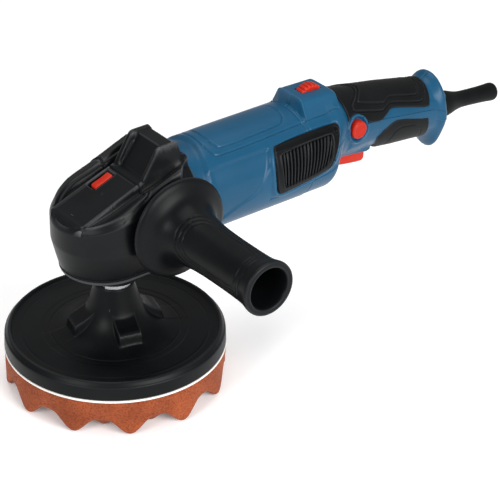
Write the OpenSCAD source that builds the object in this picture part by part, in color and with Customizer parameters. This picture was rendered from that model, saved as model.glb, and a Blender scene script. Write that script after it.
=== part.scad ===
// Rotary polisher: right-angle gear head, side handle, barrel grip and foam pad.
// Frame: the spindle is the Z axis, the pad's face is at z = 0, the motor runs along +X,
// and the side handle points along -Y.

/* [Pad] */
// Diameter of the foam pad and of the backing pad
pad_d = 170; // [140:5:200]
// Thickness of the foam
foam_t = 30; // [22:1:40]
// Depth of the waves moulded in the foam's edge
wave_depth = 11; // [4:1:14]
// Number of waves round the foam
wave_count = 12; // [8:1:16]
// Height of the backing pad's rim
rim_h = 14; // [10:1:20]
// Height of the backing pad from its underside to the top of its hub
hub_h = 52.5; // [44:0.5:70]

/* [Gear head] */
// Width of the gear head
head_w = 80; // [78:1:92]
// Height from the gear head's underside to the motor's axis
head_drop = 40; // [40:1:48]
// Wall of the gear head
head_wall = 5; // [4:0.5:6]
// Radius of the spindle in its bearings
spindle_r = 8.5; // [7:0.25:9]
// Teeth of the crown gear
crown_teeth = 37; // [31:1:41]
// Teeth of the pinion
pinion_teeth = 10; // [9:1:12]

/* [Motor] */
// Radius of the motor housing
motor_r = 38.5; // [38:0.5:44]
// Wall of the motor housing
motor_wall = 3; // [2.5:0.25:3.5]
// Length of the motor housing
motor_len = 109; // [108:1:130]
// Radius of the armature's core
core_r = 20.5; // [17:0.5:21]
// Radius of the armature shaft
shaft_r = 5; // [4.5:0.25:6]

/* [Rear grip] */
// Length from the motor housing to the rear guard
grip_len = 151; // [150:1:190]
// Fall of the grip's centreline at the rear guard
grip_drop = 10; // [8:1:14]
// Half the height of the grip's palm swell
grip_half_h = 25; // [25:0.5:28]
// Wall of the rear housing
shell_wall = 3; // [2.5:0.25:3.5]
// Thickness of the soft cover on the grip
soft_t = 1.8; // [1.2:0.1:2.4]

/* [Side handle] */
// Length of the side handle from the gear head
handle_len = 116; // [100:1:140]
// Radius of the side handle's grip
handle_r = 19; // [17:0.5:21]
// Radius of the side handle's guard
handle_guard_r = 40; // [34:1:42]
// Radius of the side handle's thread
handle_thread_r = 4; // [4:0.5:6]

/* [Cord guard] */
// Length of the cord guard outside the housing
guard_len = 60; // [40:1:70]
// Radius of the cord's hole
cord_r = 4.25; // [3.5:0.25:4.5]
// Downward tilt of the cord guard, in degrees
guard_tilt = 5.7; // [0:0.1:8]

/* [Controls] */
// Travel of the spindle lock button
lock_travel = 4; // [3:0.5:4.5]
// Radius of the speed wheel
dial_r = 13; // [12:0.5:14]
// Travel of the lock-on button
lock_on_travel = 3; // [2:0.5:3.5]

/* [Hidden] */
$fn = 64;

// Colours
c_blue = [0.06, 0.27, 0.46];
c_black = [0.08, 0.085, 0.09];
c_red = [0.85, 0.18, 0.08];
c_foam = [0.80, 0.38, 0.16];
c_steel = [0.66, 0.67, 0.69];
c_copper = [0.72, 0.42, 0.22];
c_brass = [0.78, 0.62, 0.30];

// Clearances
run = 0.05;      // a shaft in its bore, radial
gap = 0.4;       // curved faces on bodies that move apart
fit = 0.2;       // a piece that drops into a pocket
eps = 0.01;      // a slice used only to span a hull
far = 400;       // larger than the object
cut = 1;         // how far a cutting shape stands out of what it cuts

// Heights of the spindle stack
pad_r = pad_d / 2;
velcro_t = 1.5;
wave_start = pad_r * 0.68;
wave_half = 0.45 * 2 * PI * wave_start / wave_count;
wave_r = (wave_depth * wave_depth + wave_half * wave_half) / (2 * wave_depth);
plate_z = foam_t + velcro_t;
hub_z = plate_z + hub_h;
hub_r = 17;
insert_r = 11;
insert_lift = 12;
nose_r = 7;
nose_len = 24;
collar_h = 5;
collar_r = 14;
collar_flat = 1.5;
flange_z = hub_z + collar_h + 1;
flange_drop = 14;
flange_r = 21;
head_z = flange_z + flange_drop;
motor_z = head_z + head_drop;

// Gears: a straight pinion over a flat crown gear
crown_mean_r = 24;
tooth_face = 5;
crown_in_r = crown_mean_r - tooth_face / 2;
crown_out_r = crown_mean_r + tooth_face / 2;
crown_edge_r = crown_out_r + 1.5;
pinion_pitch_r = crown_mean_r * pinion_teeth / crown_teeth;
addendum = 1.2;
dedendum = 1.5;
pinion_tip_r = pinion_pitch_r + addendum;
pinion_root_r = pinion_pitch_r - dedendum;
tooth_clear = 0.4;
crown_tip_z = motor_z - pinion_root_r - tooth_clear;
crown_root_z = motor_z - pinion_tip_r - tooth_clear;
crown_t = 9;
crown_hub_h = 6;
crown_hub_r = 14;
crown_z = crown_root_z - crown_t;
tooth_pitch = 2 * PI * crown_mean_r / crown_teeth;
tooth_w = 0.33 * tooth_pitch;
pinion_x0 = crown_in_r - 1;
pinion_x1 = crown_out_r + 2;
nut_len = 4.5;
nut_x0 = pinion_x0 - nut_len;

// Gear head
head_r = head_w / 2;
head_x0 = -48;
nose_x = head_x0 + head_r;
head_x1 = 54;
bulkhead_x = 33;
taper_h = 22;
taper_in = 6;
shoulder_slope = 0.25;
shoulder_z0 = motor_z + 1;
cover_half_w = 19.5;
cover_seam_x = 11;
cover_rise = 20 / 55;
cover_x0 = head_x0 + 6;
cover_z0 = shoulder_z0 + 5.5;
knee_x = 15.5;
block_x0 = 29;
block_x1 = 46;
block_z = motor_z + 51;
cavity_top = 6;
seat_h = 4;
seat_r = 31;
seat_ledge = 1.2;
flange_screw_at = 25.5;
screw_core = 1.6;
chamber_z = head_z + seat_h + 4;

// Bearings
lower_bearing_r = 17.5;
lower_bearing_h = 11;
lower_bearing_z = flange_z + 3;
bush_r = 7.5;
top_r = 5;
top_z = motor_z + 9;
boss_r = 9.5;
bush_drop = 3;
front_bearing_r = 13;
front_bearing_x0 = 34.5;
front_bearing_x1 = 44;
tunnel_r = 9;
rear_bearing_r = 9.5;
rear_bearing_w = 7;
groove_t = 0.8;

// Spindle lock
lock_hole_r = 2.6;
lock_pin_r = 2.2;
lock_radius = 13;
lock_angle = 120;
lock_holes = 12;
lock_x = lock_radius * cos(lock_angle);
lock_y = lock_radius * sin(lock_angle);
button_x0 = -10;
button_x1 = 7;
button_half = 3.2;
pocket_z = motor_z + 11.5;
button_z = pocket_z + lock_travel + 1;
pin_gap = 1.5;

// Motor
collar_in = 2.5;
housing_x0 = head_x1;
housing_x1 = housing_x0 + motor_len;
collar_x1 = housing_x0 + 18;
cone_x = collar_x1 + 7;
motor_in_r = motor_r - motor_wall;
stator_ledge = 0.6;
boss_at = 31;
boss_angle = 30;
housing_boss_r = 4.5;
screw_r = 2.2;
screw_head_r = 4;
screw_head_x0 = head_x1 - 8;
screw_head_x1 = head_x1 - 4;
screw_end_x = housing_x0 + 13;
fan_r = 25.8;
fan_x0 = housing_x0 + 6;
fan_w = 9;
fan_hub_r = 9;
fan_blade = 1.6;
baffle_x = fan_x0 + 13;
baffle_t = 2;
baffle_r = 19;
stator_x0 = housing_x0 + 32;
stator_x1 = housing_x1 - 31;
winding_len = 8;
air_gap = 0.7;
stator_in_r = core_r + air_gap;
coil_h = 6;
comm_x0 = stator_x1 + 9;
comm_x1 = comm_x0 + 11;
comm_r = 12;
bracket_x = comm_x1 + 2;
bracket_t = 3;
shaft_x1 = bracket_x + bracket_t + rear_bearing_w;
holder_half = 5;
brush_half_w = 3;
brush_x0 = comm_x0 + 1.5;
brush_x1 = comm_x1 - 1.5;
brush_len = 11;

// Rear housing
rear_x0 = housing_x1;
taper_x = rear_x0 + 25;
neck_x = rear_x0 + 44;
neck_z = motor_z + 8;
swell_x = rear_x0 + 77;
swell_z = neck_z - 3;
tail_x = rear_x0 + grip_len;
tail_z = motor_z - grip_drop;
neck_half_h = 29;
neck_half_w = 29;
grip_half_w = grip_half_h - 1;
tail_half_h = grip_half_h - 3;
tail_half_w = grip_half_w - 3;
tail_solid = 12;
rear_guard_t = 15;
rear_guard_h = 35;
rear_guard_w = 29;
belly_x0 = neck_x - 3;
belly_x1 = neck_x + 30;
belly_half_w = 15;
belly_z = motor_z - 22;
hump_x0 = rear_x0 + 4;
hump_x1 = rear_x0 + 42;
hump_z = motor_z + 48;
hump_top_half = 14;
hump_foot_half = 22;
hump_foot_z = motor_z + 30;

// Controls
dial_x = rear_x0 + 23;
dial_z = hump_z - dial_r + 2.6;
dial_half = 4.5;
axle_r = 2;
bearing_wall = 4;
trigger_x0 = neck_x + 1;
trigger_x1 = neck_x + 29;
trigger_half = 7.5;
trigger_top = motor_z - 8;
trigger_front_z = motor_z - 25;
trigger_back_z = motor_z - 29;
pivot_x = trigger_x0 + 4;
pivot_z = motor_z - 12.5;
pivot_r = 1.5;
switch_x0 = neck_x + 6;
switch_x1 = neck_x + 44;
switch_z0 = motor_z - 1.5;
switch_z1 = motor_z + 21;
switch_half = 11;
lock_on_x = neck_x + 9;
lock_on_z = motor_z + 12;
lock_on_r = 7.5;
lock_on_out = 30.5;
lock_on_in = 17;

// Screws that join the two halves of the rear housing
screw_seat = 9;
shell_boss_r = 4.4;
shell_screw_r = 1.5;
shell_head_r = 3;
shell_head_h = 2.4;

// Intake slots behind the vent covers
slot_step = 6;
slot_w = 3;
slot_h = 26;
slot_depth = 16;

// Cord guard
guard_x = tail_x + 4;
guard_root_r = 10;
guard_tip_r = 6.7;
guard_flange_r = 12;
clamp_x = tail_x - 22;
clamp_z = tail_z - 7;
clamp_t = 5;

// Vent covers
vent_r0 = motor_r + gap;
vent_r1 = vent_r0 + 2.8;
vent_slats = 14;
vent_ahead = 34;
vent_behind = 24;
vent_pitch = 3.7;
vent_frame = 4;

// Side handle
handle_x = 26;
handle_z = motor_z;
stud_in = 12;
stud_out = 34;
thread_wall = 4.5;
handle_wall = 3.5;

// ---------- Helpers ----------
module along_x(x, z = motor_z) { translate([x, 0, z]) rotate([0, 90, 0]) children(); }

module rod_x(x0, x1, r, z = motor_z) { along_x(x0, z) cylinder(r = r, h = x1 - x0); }

module rod_y(x, z, y0, y1, r) { translate([x, y1, z]) rotate([90, 0, 0]) cylinder(r = r, h = y1 - y0); }

module slab_y(points, y0, y1) {
    translate([0, y1, 0]) rotate([90, 0, 0]) linear_extrude(y1 - y0) polygon(points);
}

module slice(x, z, half_h, half_w) {
    translate([x, 0, z]) rotate([0, 90, 0]) scale([half_h, half_w, 1]) cylinder(r = 1, h = eps, $fn = 28);
}

module screw_down(head_r, r, len, head_h = 2.5) {
    translate([0, 0, -len]) cylinder(r = r, h = len);
    difference() {
        cylinder(r = head_r, h = head_h);
        translate([0, 0, head_h / 2]) cylinder(r = head_r / 2, h = head_h);
    }
}

// Centre, half height and half width of the rear housing along its length
function form_z(x) = lookup(x, [[taper_x, motor_z], [neck_x, neck_z], [swell_x, swell_z], [tail_x, tail_z + 3]]);
function form_h(x) = lookup(x, [[taper_x, motor_r], [neck_x, neck_half_h], [swell_x, grip_half_h],
    [tail_x, tail_half_h]]);
function form_w(x) = lookup(x, [[taper_x, motor_r], [neck_x, neck_half_w], [swell_x, grip_half_w],
    [tail_x, tail_half_w]]);

// ---------- Pad and spindle ----------
module foam_pad() color(c_foam) difference() {
    cylinder(r = pad_r, h = foam_t, $fn = 96);
    for (i = [0 : wave_count - 1]) rotate([0, 0, (i + 0.5) * 360 / wave_count])
        translate([wave_start, 0, wave_depth - wave_r])
            rotate([0, 90, 0]) cylinder(r = wave_r, h = pad_r);
}

module velcro_disc() color("white") translate([0, 0, foam_t]) difference() {
    cylinder(r = pad_r + 0.4, h = velcro_t, $fn = 96);
    translate([0, 0, -cut]) cylinder(r = insert_r, h = velcro_t + 2 * cut);
}

module backing_pad() color(c_black) {
    wedge_at = 30;
    difference() {
        union() {
            translate([0, 0, plate_z]) rotate_extrude($fn = 96) polygon([[insert_r, 0], [pad_r, 0], [pad_r, 4],
                [pad_r - 2.4, rim_h - 1.5], [pad_r - 4, rim_h], [pad_r - 6, rim_h], [pad_r - 9, rim_h - 2.5],
                [pad_r * 0.52, rim_h - 1], [34, rim_h + 3], [26, rim_h + 10], [20.5, rim_h + 22],
                [hub_r + 1, hub_h - 3], [hub_r, hub_h], [insert_r, hub_h]]);
            for (a = [0 : 90 : 270]) rotate([0, 0, a + 45]) slab_y([[15, plate_z + rim_h - 3],
                [wedge_at + 12, plate_z + rim_h - 3], [wedge_at + 6, plate_z + rim_h + 5],
                [wedge_at - 3, plate_z + rim_h + 9], [15, plate_z + rim_h + 22]], -7, 7);
        }
        translate([0, 0, plate_z - cut]) cylinder(r = insert_r, h = hub_h + 2 * cut);
    }
}

module pad_insert() color(c_steel) translate([0, 0, plate_z + insert_lift]) difference() {
    cylinder(r = insert_r, h = hub_h - insert_lift);
    translate([0, 0, -cut]) cylinder(r = nose_r, h = hub_h);
}

module spindle() color(c_steel) {
    translate([0, 0, hub_z - nose_len]) cylinder(r = nose_r, h = nose_len + cut);
    difference() {
        translate([0, 0, hub_z]) cylinder(r = collar_r, h = collar_h);
        for (s = [-1, 1]) translate([s * (far / 2 + collar_r - collar_flat), 0, hub_z + collar_h / 2])
            cube([far, far, far], center = true);
    }
    translate([0, 0, hub_z + cut]) cylinder(r = spindle_r, h = crown_root_z - hub_z);
    translate([0, 0, hub_z + 2 * cut]) cylinder(r = top_r, h = top_z - hub_z - 2 * cut);
}

module crown_gear() color(c_steel) difference() {
    union() {
        translate([0, 0, crown_z]) cylinder(r = crown_edge_r, h = crown_t);
        translate([0, 0, crown_z - crown_hub_h]) cylinder(r = crown_hub_r, h = crown_hub_h);
        for (i = [0 : crown_teeth - 1]) rotate([0, 0, (i + 0.5) * 360 / crown_teeth])
            translate([crown_in_r, -tooth_w / 2, crown_root_z - 1])
                cube([tooth_face, tooth_w, crown_tip_z - crown_root_z + 1]);
    }
    translate([0, 0, crown_z - crown_hub_h - cut]) cylinder(r = spindle_r, h = crown_t + crown_hub_h + 3 * cut);
    for (i = [0 : lock_holes - 1]) rotate([0, 0, lock_angle + i * 360 / lock_holes])
        translate([lock_radius, 0, crown_z - crown_hub_h - cut])
            cylinder(r = lock_hole_r, h = crown_t + crown_hub_h + 3 * cut, $fn = 24);
}

module lower_bearing() color(c_steel) translate([0, 0, lower_bearing_z]) difference() {
    cylinder(r = lower_bearing_r, h = lower_bearing_h);
    translate([0, 0, -cut]) cylinder(r = spindle_r + run, h = lower_bearing_h + 2 * cut);
    for (z = [-eps, lower_bearing_h - groove_t + eps]) translate([0, 0, z]) difference() {
        cylinder(r = lower_bearing_r - 2, h = groove_t);
        cylinder(r = spindle_r + 2, h = groove_t);
    }
}

module upper_bearing() color(c_steel) translate([0, 0, motor_z - bush_drop]) difference() {
    cylinder(r = bush_r, h = top_z - motor_z + bush_drop);
    translate([0, 0, -cut]) cylinder(r = top_r + run, h = top_z - motor_z + bush_drop + 2 * cut);
}

module bearing_flange() color(c_black) difference() {
    union() {
        translate([0, 0, flange_z]) cylinder(r = flange_r, h = flange_drop);
        translate([0, 0, head_z]) cylinder(r = seat_r, h = seat_h);
    }
    translate([0, 0, flange_z - cut]) cylinder(r = spindle_r + 4, h = lower_bearing_z - flange_z + 2 * cut);
    translate([0, 0, lower_bearing_z]) cylinder(r = lower_bearing_r, h = far);
    flange_screw_places() translate([0, 0, -cut]) cylinder(r = screw_core + 0.1, h = seat_h + 2 * cut);
    flange_screw_places() translate([0, 0, -cut]) cylinder(r = shell_head_r + fit, h = seat_h / 2 + cut);
}

module flange_screw_places() {
    for (a = [45 : 90 : 315]) rotate([0, 0, a]) translate([flange_screw_at, 0, head_z]) children();
}

module flange_screws() color(c_steel) flange_screw_places() {
    translate([0, 0, seat_h / 2 - shell_head_h]) difference() {
        cylinder(r = shell_head_r, h = shell_head_h);
        translate([0, 0, -cut]) cylinder(r = shell_head_r / 2, h = shell_head_h / 2 + cut, $fn = 6);
    }
    translate([0, 0, seat_h / 2]) cylinder(r = screw_core, h = seat_h + 2);
}

// ---------- Gear head ----------
function shoulder_z(x) = shoulder_z0 + (x - head_x0) * shoulder_slope;
function cover_z(x) = cover_z0 + (x - cover_x0) * cover_rise;

module head_plan(inset = 0, z0 = 0, z1 = far) {
    translate([nose_x, 0, z0]) cylinder(r = head_r - inset, h = z1 - z0);
    translate([nose_x, -head_r + inset, z0]) cube([head_x1 - nose_x - inset, 2 * (head_r - inset), z1 - z0]);
}

module gear_housing() color(c_black) difference() {
    union() {
        intersection() {
            head_plan(0, head_z, far);
            slab_y([[head_x0 - 1, head_z], [head_x1, head_z], [head_x1, shoulder_z(head_x1)],
                [head_x0 - 1, shoulder_z(head_x0 - 1)]], -head_r, head_r);
            union() {
                head_plan(0, head_z + taper_h, far);
                translate([nose_x, 0, head_z])
                    cylinder(r1 = head_r - taper_in, r2 = head_r, h = taper_h);
                hull() {
                    translate([nose_x, -head_r + taper_in, head_z])
                        cube([head_x1 - nose_x, 2 * (head_r - taper_in), eps]);
                    translate([nose_x, -head_r, head_z + taper_h]) cube([head_x1 - nose_x, 2 * head_r, eps]);
                }
            }
        }
        handle_bosses(handle_thread_r + thread_wall);
    }
    // gear chamber, open underneath for the bearing flange
    difference() {
        intersection() {
            head_plan(head_wall, chamber_z, far);
            slab_y([[head_x0, head_z], [bulkhead_x, head_z], [bulkhead_x, shoulder_z(bulkhead_x) - cavity_top],
                [head_x0, shoulder_z(head_x0) - cavity_top]], -head_r + head_wall, head_r - head_wall);
        }
        translate([0, 0, motor_z - bush_drop]) cylinder(r = boss_r, h = far);
        handle_bosses(handle_thread_r + thread_wall);
    }
    translate([0, 0, motor_z - bush_drop - cut]) cylinder(r = bush_r, h = top_z - motor_z + bush_drop + 1.5 * cut);
    translate([0, 0, head_z - cut]) cylinder(r = seat_r, h = seat_h + cut);
    translate([0, 0, head_z - cut]) cylinder(r = seat_r - seat_ledge, h = chamber_z - head_z + 2 * cut);
    flange_screw_places() cylinder(r = screw_core, h = seat_h + 8, $fn = 24);
    // front motor bearing and shaft tunnel
    rod_x(bulkhead_x - cut, front_bearing_x1, front_bearing_r);
    rod_x(bulkhead_x, head_x1 + cut, tunnel_r);
    housing_screw_places() {
        rod_x(bulkhead_x - cut, screw_head_x1, screw_head_r + fit, 0);
        rod_x(screw_head_x1 - cut, head_x1 + cut, screw_r + fit / 2, 0);
    }
    // side handle threads
    handle_bosses(handle_thread_r, cut);
    // spindle lock pocket and its pin hole
    lock_pocket(pocket_z);
    translate([lock_x, lock_y, crown_z]) cylinder(r = lock_pin_r + 0.15, h = far);
    cover_screw_places() cylinder(r = screw_core, h = 20, center = true, $fn = 24);
}

// Rods along Y at the two places where the side handle screws in
module handle_bosses(r, out = 0) {
    for (s = [-1, 1]) rod_y(handle_x, handle_z, s > 0 ? head_r - stud_in : -head_r - out,
        s > 0 ? head_r + out : -head_r + stud_in, r);
}

module lock_pocket(z0) {
    translate([button_x0 - gap, lock_y - button_half - gap, z0])
        cube([button_x1 - button_x0 + 2 * gap, 2 * (button_half + gap), far]);
}

module front_cover() color(c_black) difference() {
    slab_y([[cover_x0 - 3, shoulder_z(cover_x0 - 3)], [cover_seam_x, shoulder_z(cover_seam_x)],
        [cover_seam_x, cover_z(cover_seam_x)], [cover_x0, cover_z(cover_x0)],
        [cover_x0 - 3, cover_z(cover_x0) - 3]], -cover_half_w, cover_half_w);
    lock_pocket(0);
    front_screw_place() {
        cylinder(r = screw_core + 0.1, h = 40, center = true);
        translate([0, 0, -2]) cylinder(r = shell_head_r + fit, h = 20);
    }
}

module rear_cover() color(c_black) difference() {
    slab_y([[cover_seam_x + 0.1, shoulder_z(cover_seam_x + 0.1)], [head_x1 - 2, shoulder_z(head_x1 - 2)],
        [head_x1 - 2, block_z - 12], [block_x1, block_z], [block_x0, block_z], [knee_x, cover_z(knee_x)],
        [cover_seam_x + 0.1, cover_z(cover_seam_x + 0.1)]], -cover_half_w, cover_half_w);
    // sunk front panel
    slab_y([[knee_x + 5, cover_z(knee_x) - 1], [knee_x + 3.5, cover_z(knee_x)], [block_x0 - 1, block_z + 1],
        [block_x0 + 4, block_z + 1]], -cover_half_w + 4, cover_half_w - 4);
    rear_screw_places() {
        cylinder(r = screw_core + 0.1, h = 60, center = true);
        translate([0, 0, 3]) cylinder(r = shell_head_r + fit, h = 60);
    }
}

module front_screw_place() {
    translate([cover_x0 + 9, 0, cover_z(cover_x0 + 9)]) children();
}

module rear_screw_places() {
    for (s = [-1, 1]) translate([block_x1 - 6, s * 11, shoulder_z(block_x1 - 6)]) children();
}

module cover_screw_places() {
    front_screw_place() translate([0, 0, -6]) children();
    rear_screw_places() children();
}

module cover_screws() color(c_steel) {
    front_screw_place() translate([0, 0, -2]) screw_down(shell_head_r, shell_screw_r, 10, 1.8);
    rear_screw_places() translate([0, 0, 3]) screw_down(shell_head_r, shell_screw_r, 10, 2);
}

module lock_button() color(c_red) slab_y([[button_x0, button_z], [button_x1, button_z],
    [button_x1, cover_z(button_x1) + 0.8], [button_x0, cover_z(button_x0) + 0.8]],
    lock_y - button_half, lock_y + button_half);

module lock_pin() color(c_steel) translate([lock_x, lock_y, crown_root_z + pin_gap])
    cylinder(r = lock_pin_r, h = button_z - crown_root_z - pin_gap);

module lock_spring() color(c_steel) translate([lock_x, lock_y, pocket_z]) difference() {
    cylinder(r = 3.1, h = button_z - pocket_z);
    translate([0, 0, -1]) cylinder(r = lock_pin_r + 0.3, h = 10);
}

// ---------- Motor ----------
module pinion() color(c_steel) difference() {
    union() {
        rod_x(pinion_x0, pinion_x1, pinion_root_r);
        for (i = [0 : pinion_teeth - 1]) along_x(pinion_x0)
            rotate([0, 0, i * 360 / pinion_teeth]) linear_extrude(pinion_x1 - pinion_x0)
                polygon([[pinion_root_r - 0.6, -tooth_w * 0.5], [pinion_pitch_r, -tooth_w * 0.42],
                    [pinion_tip_r, -tooth_w * 0.24], [pinion_tip_r, tooth_w * 0.24],
                    [pinion_pitch_r, tooth_w * 0.42], [pinion_root_r - 0.6, tooth_w * 0.5]]);
    }
    rod_x(pinion_x0 - 1, pinion_x1 + 1, 3.5);
}

module pinion_nut() color(c_steel) difference() {
    along_x(nut_x0) cylinder(r = 5.6, h = nut_len, $fn = 6);
    rod_x(nut_x0 - 1, pinion_x0 + 1, 3.5);
}

module armature_shaft() color(c_steel) {
    rod_x(nut_x0, pinion_x1, 3.5);
    rod_x(pinion_x1, shaft_x1, shaft_r);
}

module armature_core() color(c_steel) difference() {
    rod_x(stator_x0, stator_x1, core_r);
    rod_x(stator_x0 - 1, stator_x1 + 1, shaft_r);
    for (a = [0 : 30 : 330]) along_x(stator_x0 - 1) rotate([0, 0, a])
        translate([core_r - 4, -1, 0]) cube([6, 2, stator_x1 - stator_x0 + 2]);
}

module armature_windings() color(c_copper)
    for (x = [stator_x0 - winding_len, stator_x1]) difference() {
        rod_x(x, x + winding_len, core_r - 3);
        rod_x(x - cut, x + winding_len + cut, shaft_r);
    }

module commutator() color(c_copper) difference() {
    rod_x(comm_x0, comm_x1, comm_r);
    rod_x(comm_x0 - 1, comm_x1 + 1, shaft_r);
    for (a = [0 : 15 : 345]) along_x(comm_x0 - 1) rotate([0, 0, a])
        translate([comm_r - 1.2, -0.2, 0]) cube([3, 0.4, comm_x1 - comm_x0 + 2]);
}

module cooling_fan() color(c_black) difference() {
    union() {
        rod_x(fan_x0, fan_x0 + 1.5, fan_r);
        rod_x(fan_x0, fan_x0 + fan_w, fan_hub_r);
        for (a = [0 : 30 : 330]) along_x(fan_x0) rotate([0, 0, a])
            translate([fan_hub_r - cut, -fan_blade / 2, 0]) cube([fan_r - fan_hub_r + 0.4, fan_blade, fan_w]);
    }
    rod_x(fan_x0 - cut, fan_x0 + fan_w + cut, shaft_r);
}

module ring_bearing(x0, x1, r) difference() {
    rod_x(x0, x1, r);
    rod_x(x0 - 1, x1 + 1, shaft_r + run);
    for (x = [x0 - eps, x1 - groove_t + eps]) difference() {
        rod_x(x, x + groove_t, r - 1.5);
        rod_x(x - cut, x + groove_t + cut, shaft_r + 1.5);
    }
}

module front_motor_bearing() color(c_steel) ring_bearing(front_bearing_x0, front_bearing_x1, front_bearing_r);

module rear_motor_bearing() color(c_steel)
    ring_bearing(bracket_x + bracket_t, shaft_x1, rear_bearing_r);

module housing_screw_places() {
    for (s = [-1, 1], t = [-1, 1])
        translate([0, s * boss_at * cos(boss_angle), motor_z + t * boss_at * sin(boss_angle)]) children();
}

module motor_housing() color(c_blue) difference() {
    union() {
        difference() {
            union() {
                rod_x(housing_x0, collar_x1, motor_r - collar_in);
                along_x(collar_x1) cylinder(r1 = motor_r - collar_in, r2 = motor_r, h = cone_x - collar_x1);
                rod_x(cone_x, housing_x1, motor_r);
            }
            rod_x(housing_x0 - cut, collar_x1, motor_in_r - collar_in);
            rod_x(collar_x1 - cut, housing_x1 + cut, motor_in_r - stator_ledge);
        }
        intersection() {
            housing_screw_places() rod_x(housing_x0, collar_x1, housing_boss_r, 0);
            rod_x(housing_x0, collar_x1, motor_r - collar_in);
        }
    }
    rod_x(cone_x, housing_x1 + cut, motor_in_r);
    housing_screw_places() rod_x(housing_x0 - cut, screw_end_x + cut, screw_r, 0);
    intake_slots(housing_x1 - 5 * slot_step, 5);
}

// A row of air slots in both sides of the housing
module intake_slots(x0, count) for (s = [-1, 1], i = [0 : count - 1])
    translate([x0 + i * slot_step, s * motor_r, motor_z]) cube([slot_w, slot_depth, slot_h], center = true);

module housing_screws() color(c_steel) housing_screw_places() {
    difference() {
        rod_x(screw_head_x0, screw_head_x1, screw_head_r, 0);
        translate([screw_head_x0 - cut, 0, 0]) rotate([0, 90, 0]) cylinder(r = screw_head_r / 2, h = 3, $fn = 6);
    }
    rod_x(screw_head_x1, screw_end_x, screw_r - run, 0);
}

module air_baffle() color(c_black) difference() {
    rod_x(baffle_x, baffle_x + baffle_t, motor_in_r - stator_ledge);
    rod_x(baffle_x - cut, baffle_x + baffle_t + cut, baffle_r);
}

module stator_core() color(c_steel) difference() {
    rod_x(stator_x0, stator_x1, motor_in_r);
    rod_x(stator_x0 - 1, stator_x1 + 1, stator_in_r);
    for (s = [-1, 1]) translate([stator_x0 - 1, s * (stator_in_r + 4) - 2.5, motor_z - 15])
        cube([stator_x1 - stator_x0 + 2, 5, 30]);
}

module field_coils() color(c_copper) for (x = [stator_x0 - coil_h, stator_x1], s = [-1, 1]) intersection() {
    difference() {
        rod_x(x, x + coil_h, motor_in_r - 2);
        rod_x(x - 1, x + coil_h + 1, stator_in_r + 1);
    }
    translate([x - 1, -far / 2, s > 0 ? motor_z + 3 : motor_z - 3 - far]) cube([coil_h + 2, far, far]);
}

module brush_bracket() color(c_black) difference() {
    union() {
        rod_x(bracket_x, bracket_x + bracket_t, motor_in_r);
        rod_x(bracket_x, shaft_x1 + 1, rear_bearing_r + 2.5);
    }
    rod_x(bracket_x + bracket_t, shaft_x1 + 2, rear_bearing_r);
    rod_x(bracket_x - 1, bracket_x + bracket_t + 1, shaft_r + 1);
    for (a = [45 : 90 : 315]) translate([0, 24 * cos(a), motor_z + 24 * sin(a)])
        rod_x(bracket_x - 1, bracket_x + bracket_t + 1, 6.5, 0);
}

module brush_holders() color(c_brass) for (s = [-1, 1]) translate([0, 0, motor_z]) difference() {
    translate([comm_x0 + 0.2, -holder_half, s > 0 ? comm_r + 2 : -comm_r - 20])
        cube([bracket_x - comm_x0 - 0.2, 2 * holder_half, 18]);
    translate([brush_x0 - fit, -brush_half_w - fit, s > 0 ? comm_r : -comm_r - 19])
        cube([brush_x1 - brush_x0 + 2 * fit, 2 * (brush_half_w + fit), 19]);
}

module carbon_brushes() color([0.15, 0.15, 0.16]) for (s = [-1, 1])
    translate([brush_x0, -brush_half_w, motor_z + (s > 0 ? comm_r + 0.3 : -comm_r - 0.3 - brush_len)])
        cube([brush_x1 - brush_x0, 2 * brush_half_w, brush_len]);

module brush_springs() color(c_steel) for (s = [-1, 1])
    translate([(brush_x0 + brush_x1) / 2, 0, motor_z + (s > 0 ? comm_r + 0.3 + brush_len : -comm_r - 19)])
        difference() {
            cylinder(r = 2.6, h = 7.7);
            translate([0, 0, -1]) cylinder(r = 1.8, h = 10);
        }

// ---------- Vent covers ----------
module vent_outline(inset = 0) {
    x0 = housing_x1 - vent_ahead + inset;
    x1 = housing_x1 + vent_behind - inset;
    z0 = motor_z - 12 + inset;
    z1 = motor_z + 28 - inset;
    offset(r = 3) offset(delta = -3) polygon([[x0, z0], [x1 - 6, z0], [x1, z0 + 7], [x1 + 1, z1], [x0 - 1, z1]]);
}

module vent_prism(inset = 0) { rotate([90, 0, 0]) linear_extrude(far / 2) vent_outline(inset); }

module vent_cover(side) {
    mirror([0, side > 0 ? 1 : 0, 0]) difference() {
        intersection() {
            rod_x(housing_x1 - vent_ahead - 6, housing_x1 + vent_behind + 6, vent_r1);
            vent_prism();
        }
        rod_x(housing_x1 - vent_ahead - 7, housing_x1 + vent_behind + 7, vent_r0);
        intersection() {
            vent_prism(vent_frame);
            for (i = [0 : vent_slats - 1])
                translate([housing_x1 - vent_ahead + vent_frame + i * vent_pitch, -far / 2, motor_z - 12])
                    rotate([0, -8, 0]) cube([1.6, far / 2, 31]);
        }
    }
}

module vent_cover_right() color(c_black) vent_cover(-1);

module vent_cover_left() color(c_black) vent_cover(1);

// ---------- Rear housing and grip ----------
module grip_form(grow = 0) {
    rod_x(rear_x0, taper_x + eps, motor_r + grow);
    hull() {
        slice(taper_x, motor_z, motor_r + grow, motor_r + grow);
        slice(neck_x, neck_z, neck_half_h + grow, neck_half_w + grow);
    }
    hull() {
        slice(neck_x, neck_z, neck_half_h + grow, neck_half_w + grow);
        slice(swell_x, swell_z, grip_half_h + grow, grip_half_w + grow);
    }
    hull() {
        slice(swell_x, swell_z, grip_half_h + grow, grip_half_w + grow);
        slice(tail_x + eps, tail_z + 3, tail_half_h + grow, tail_half_w + grow);
    }
}

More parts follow.
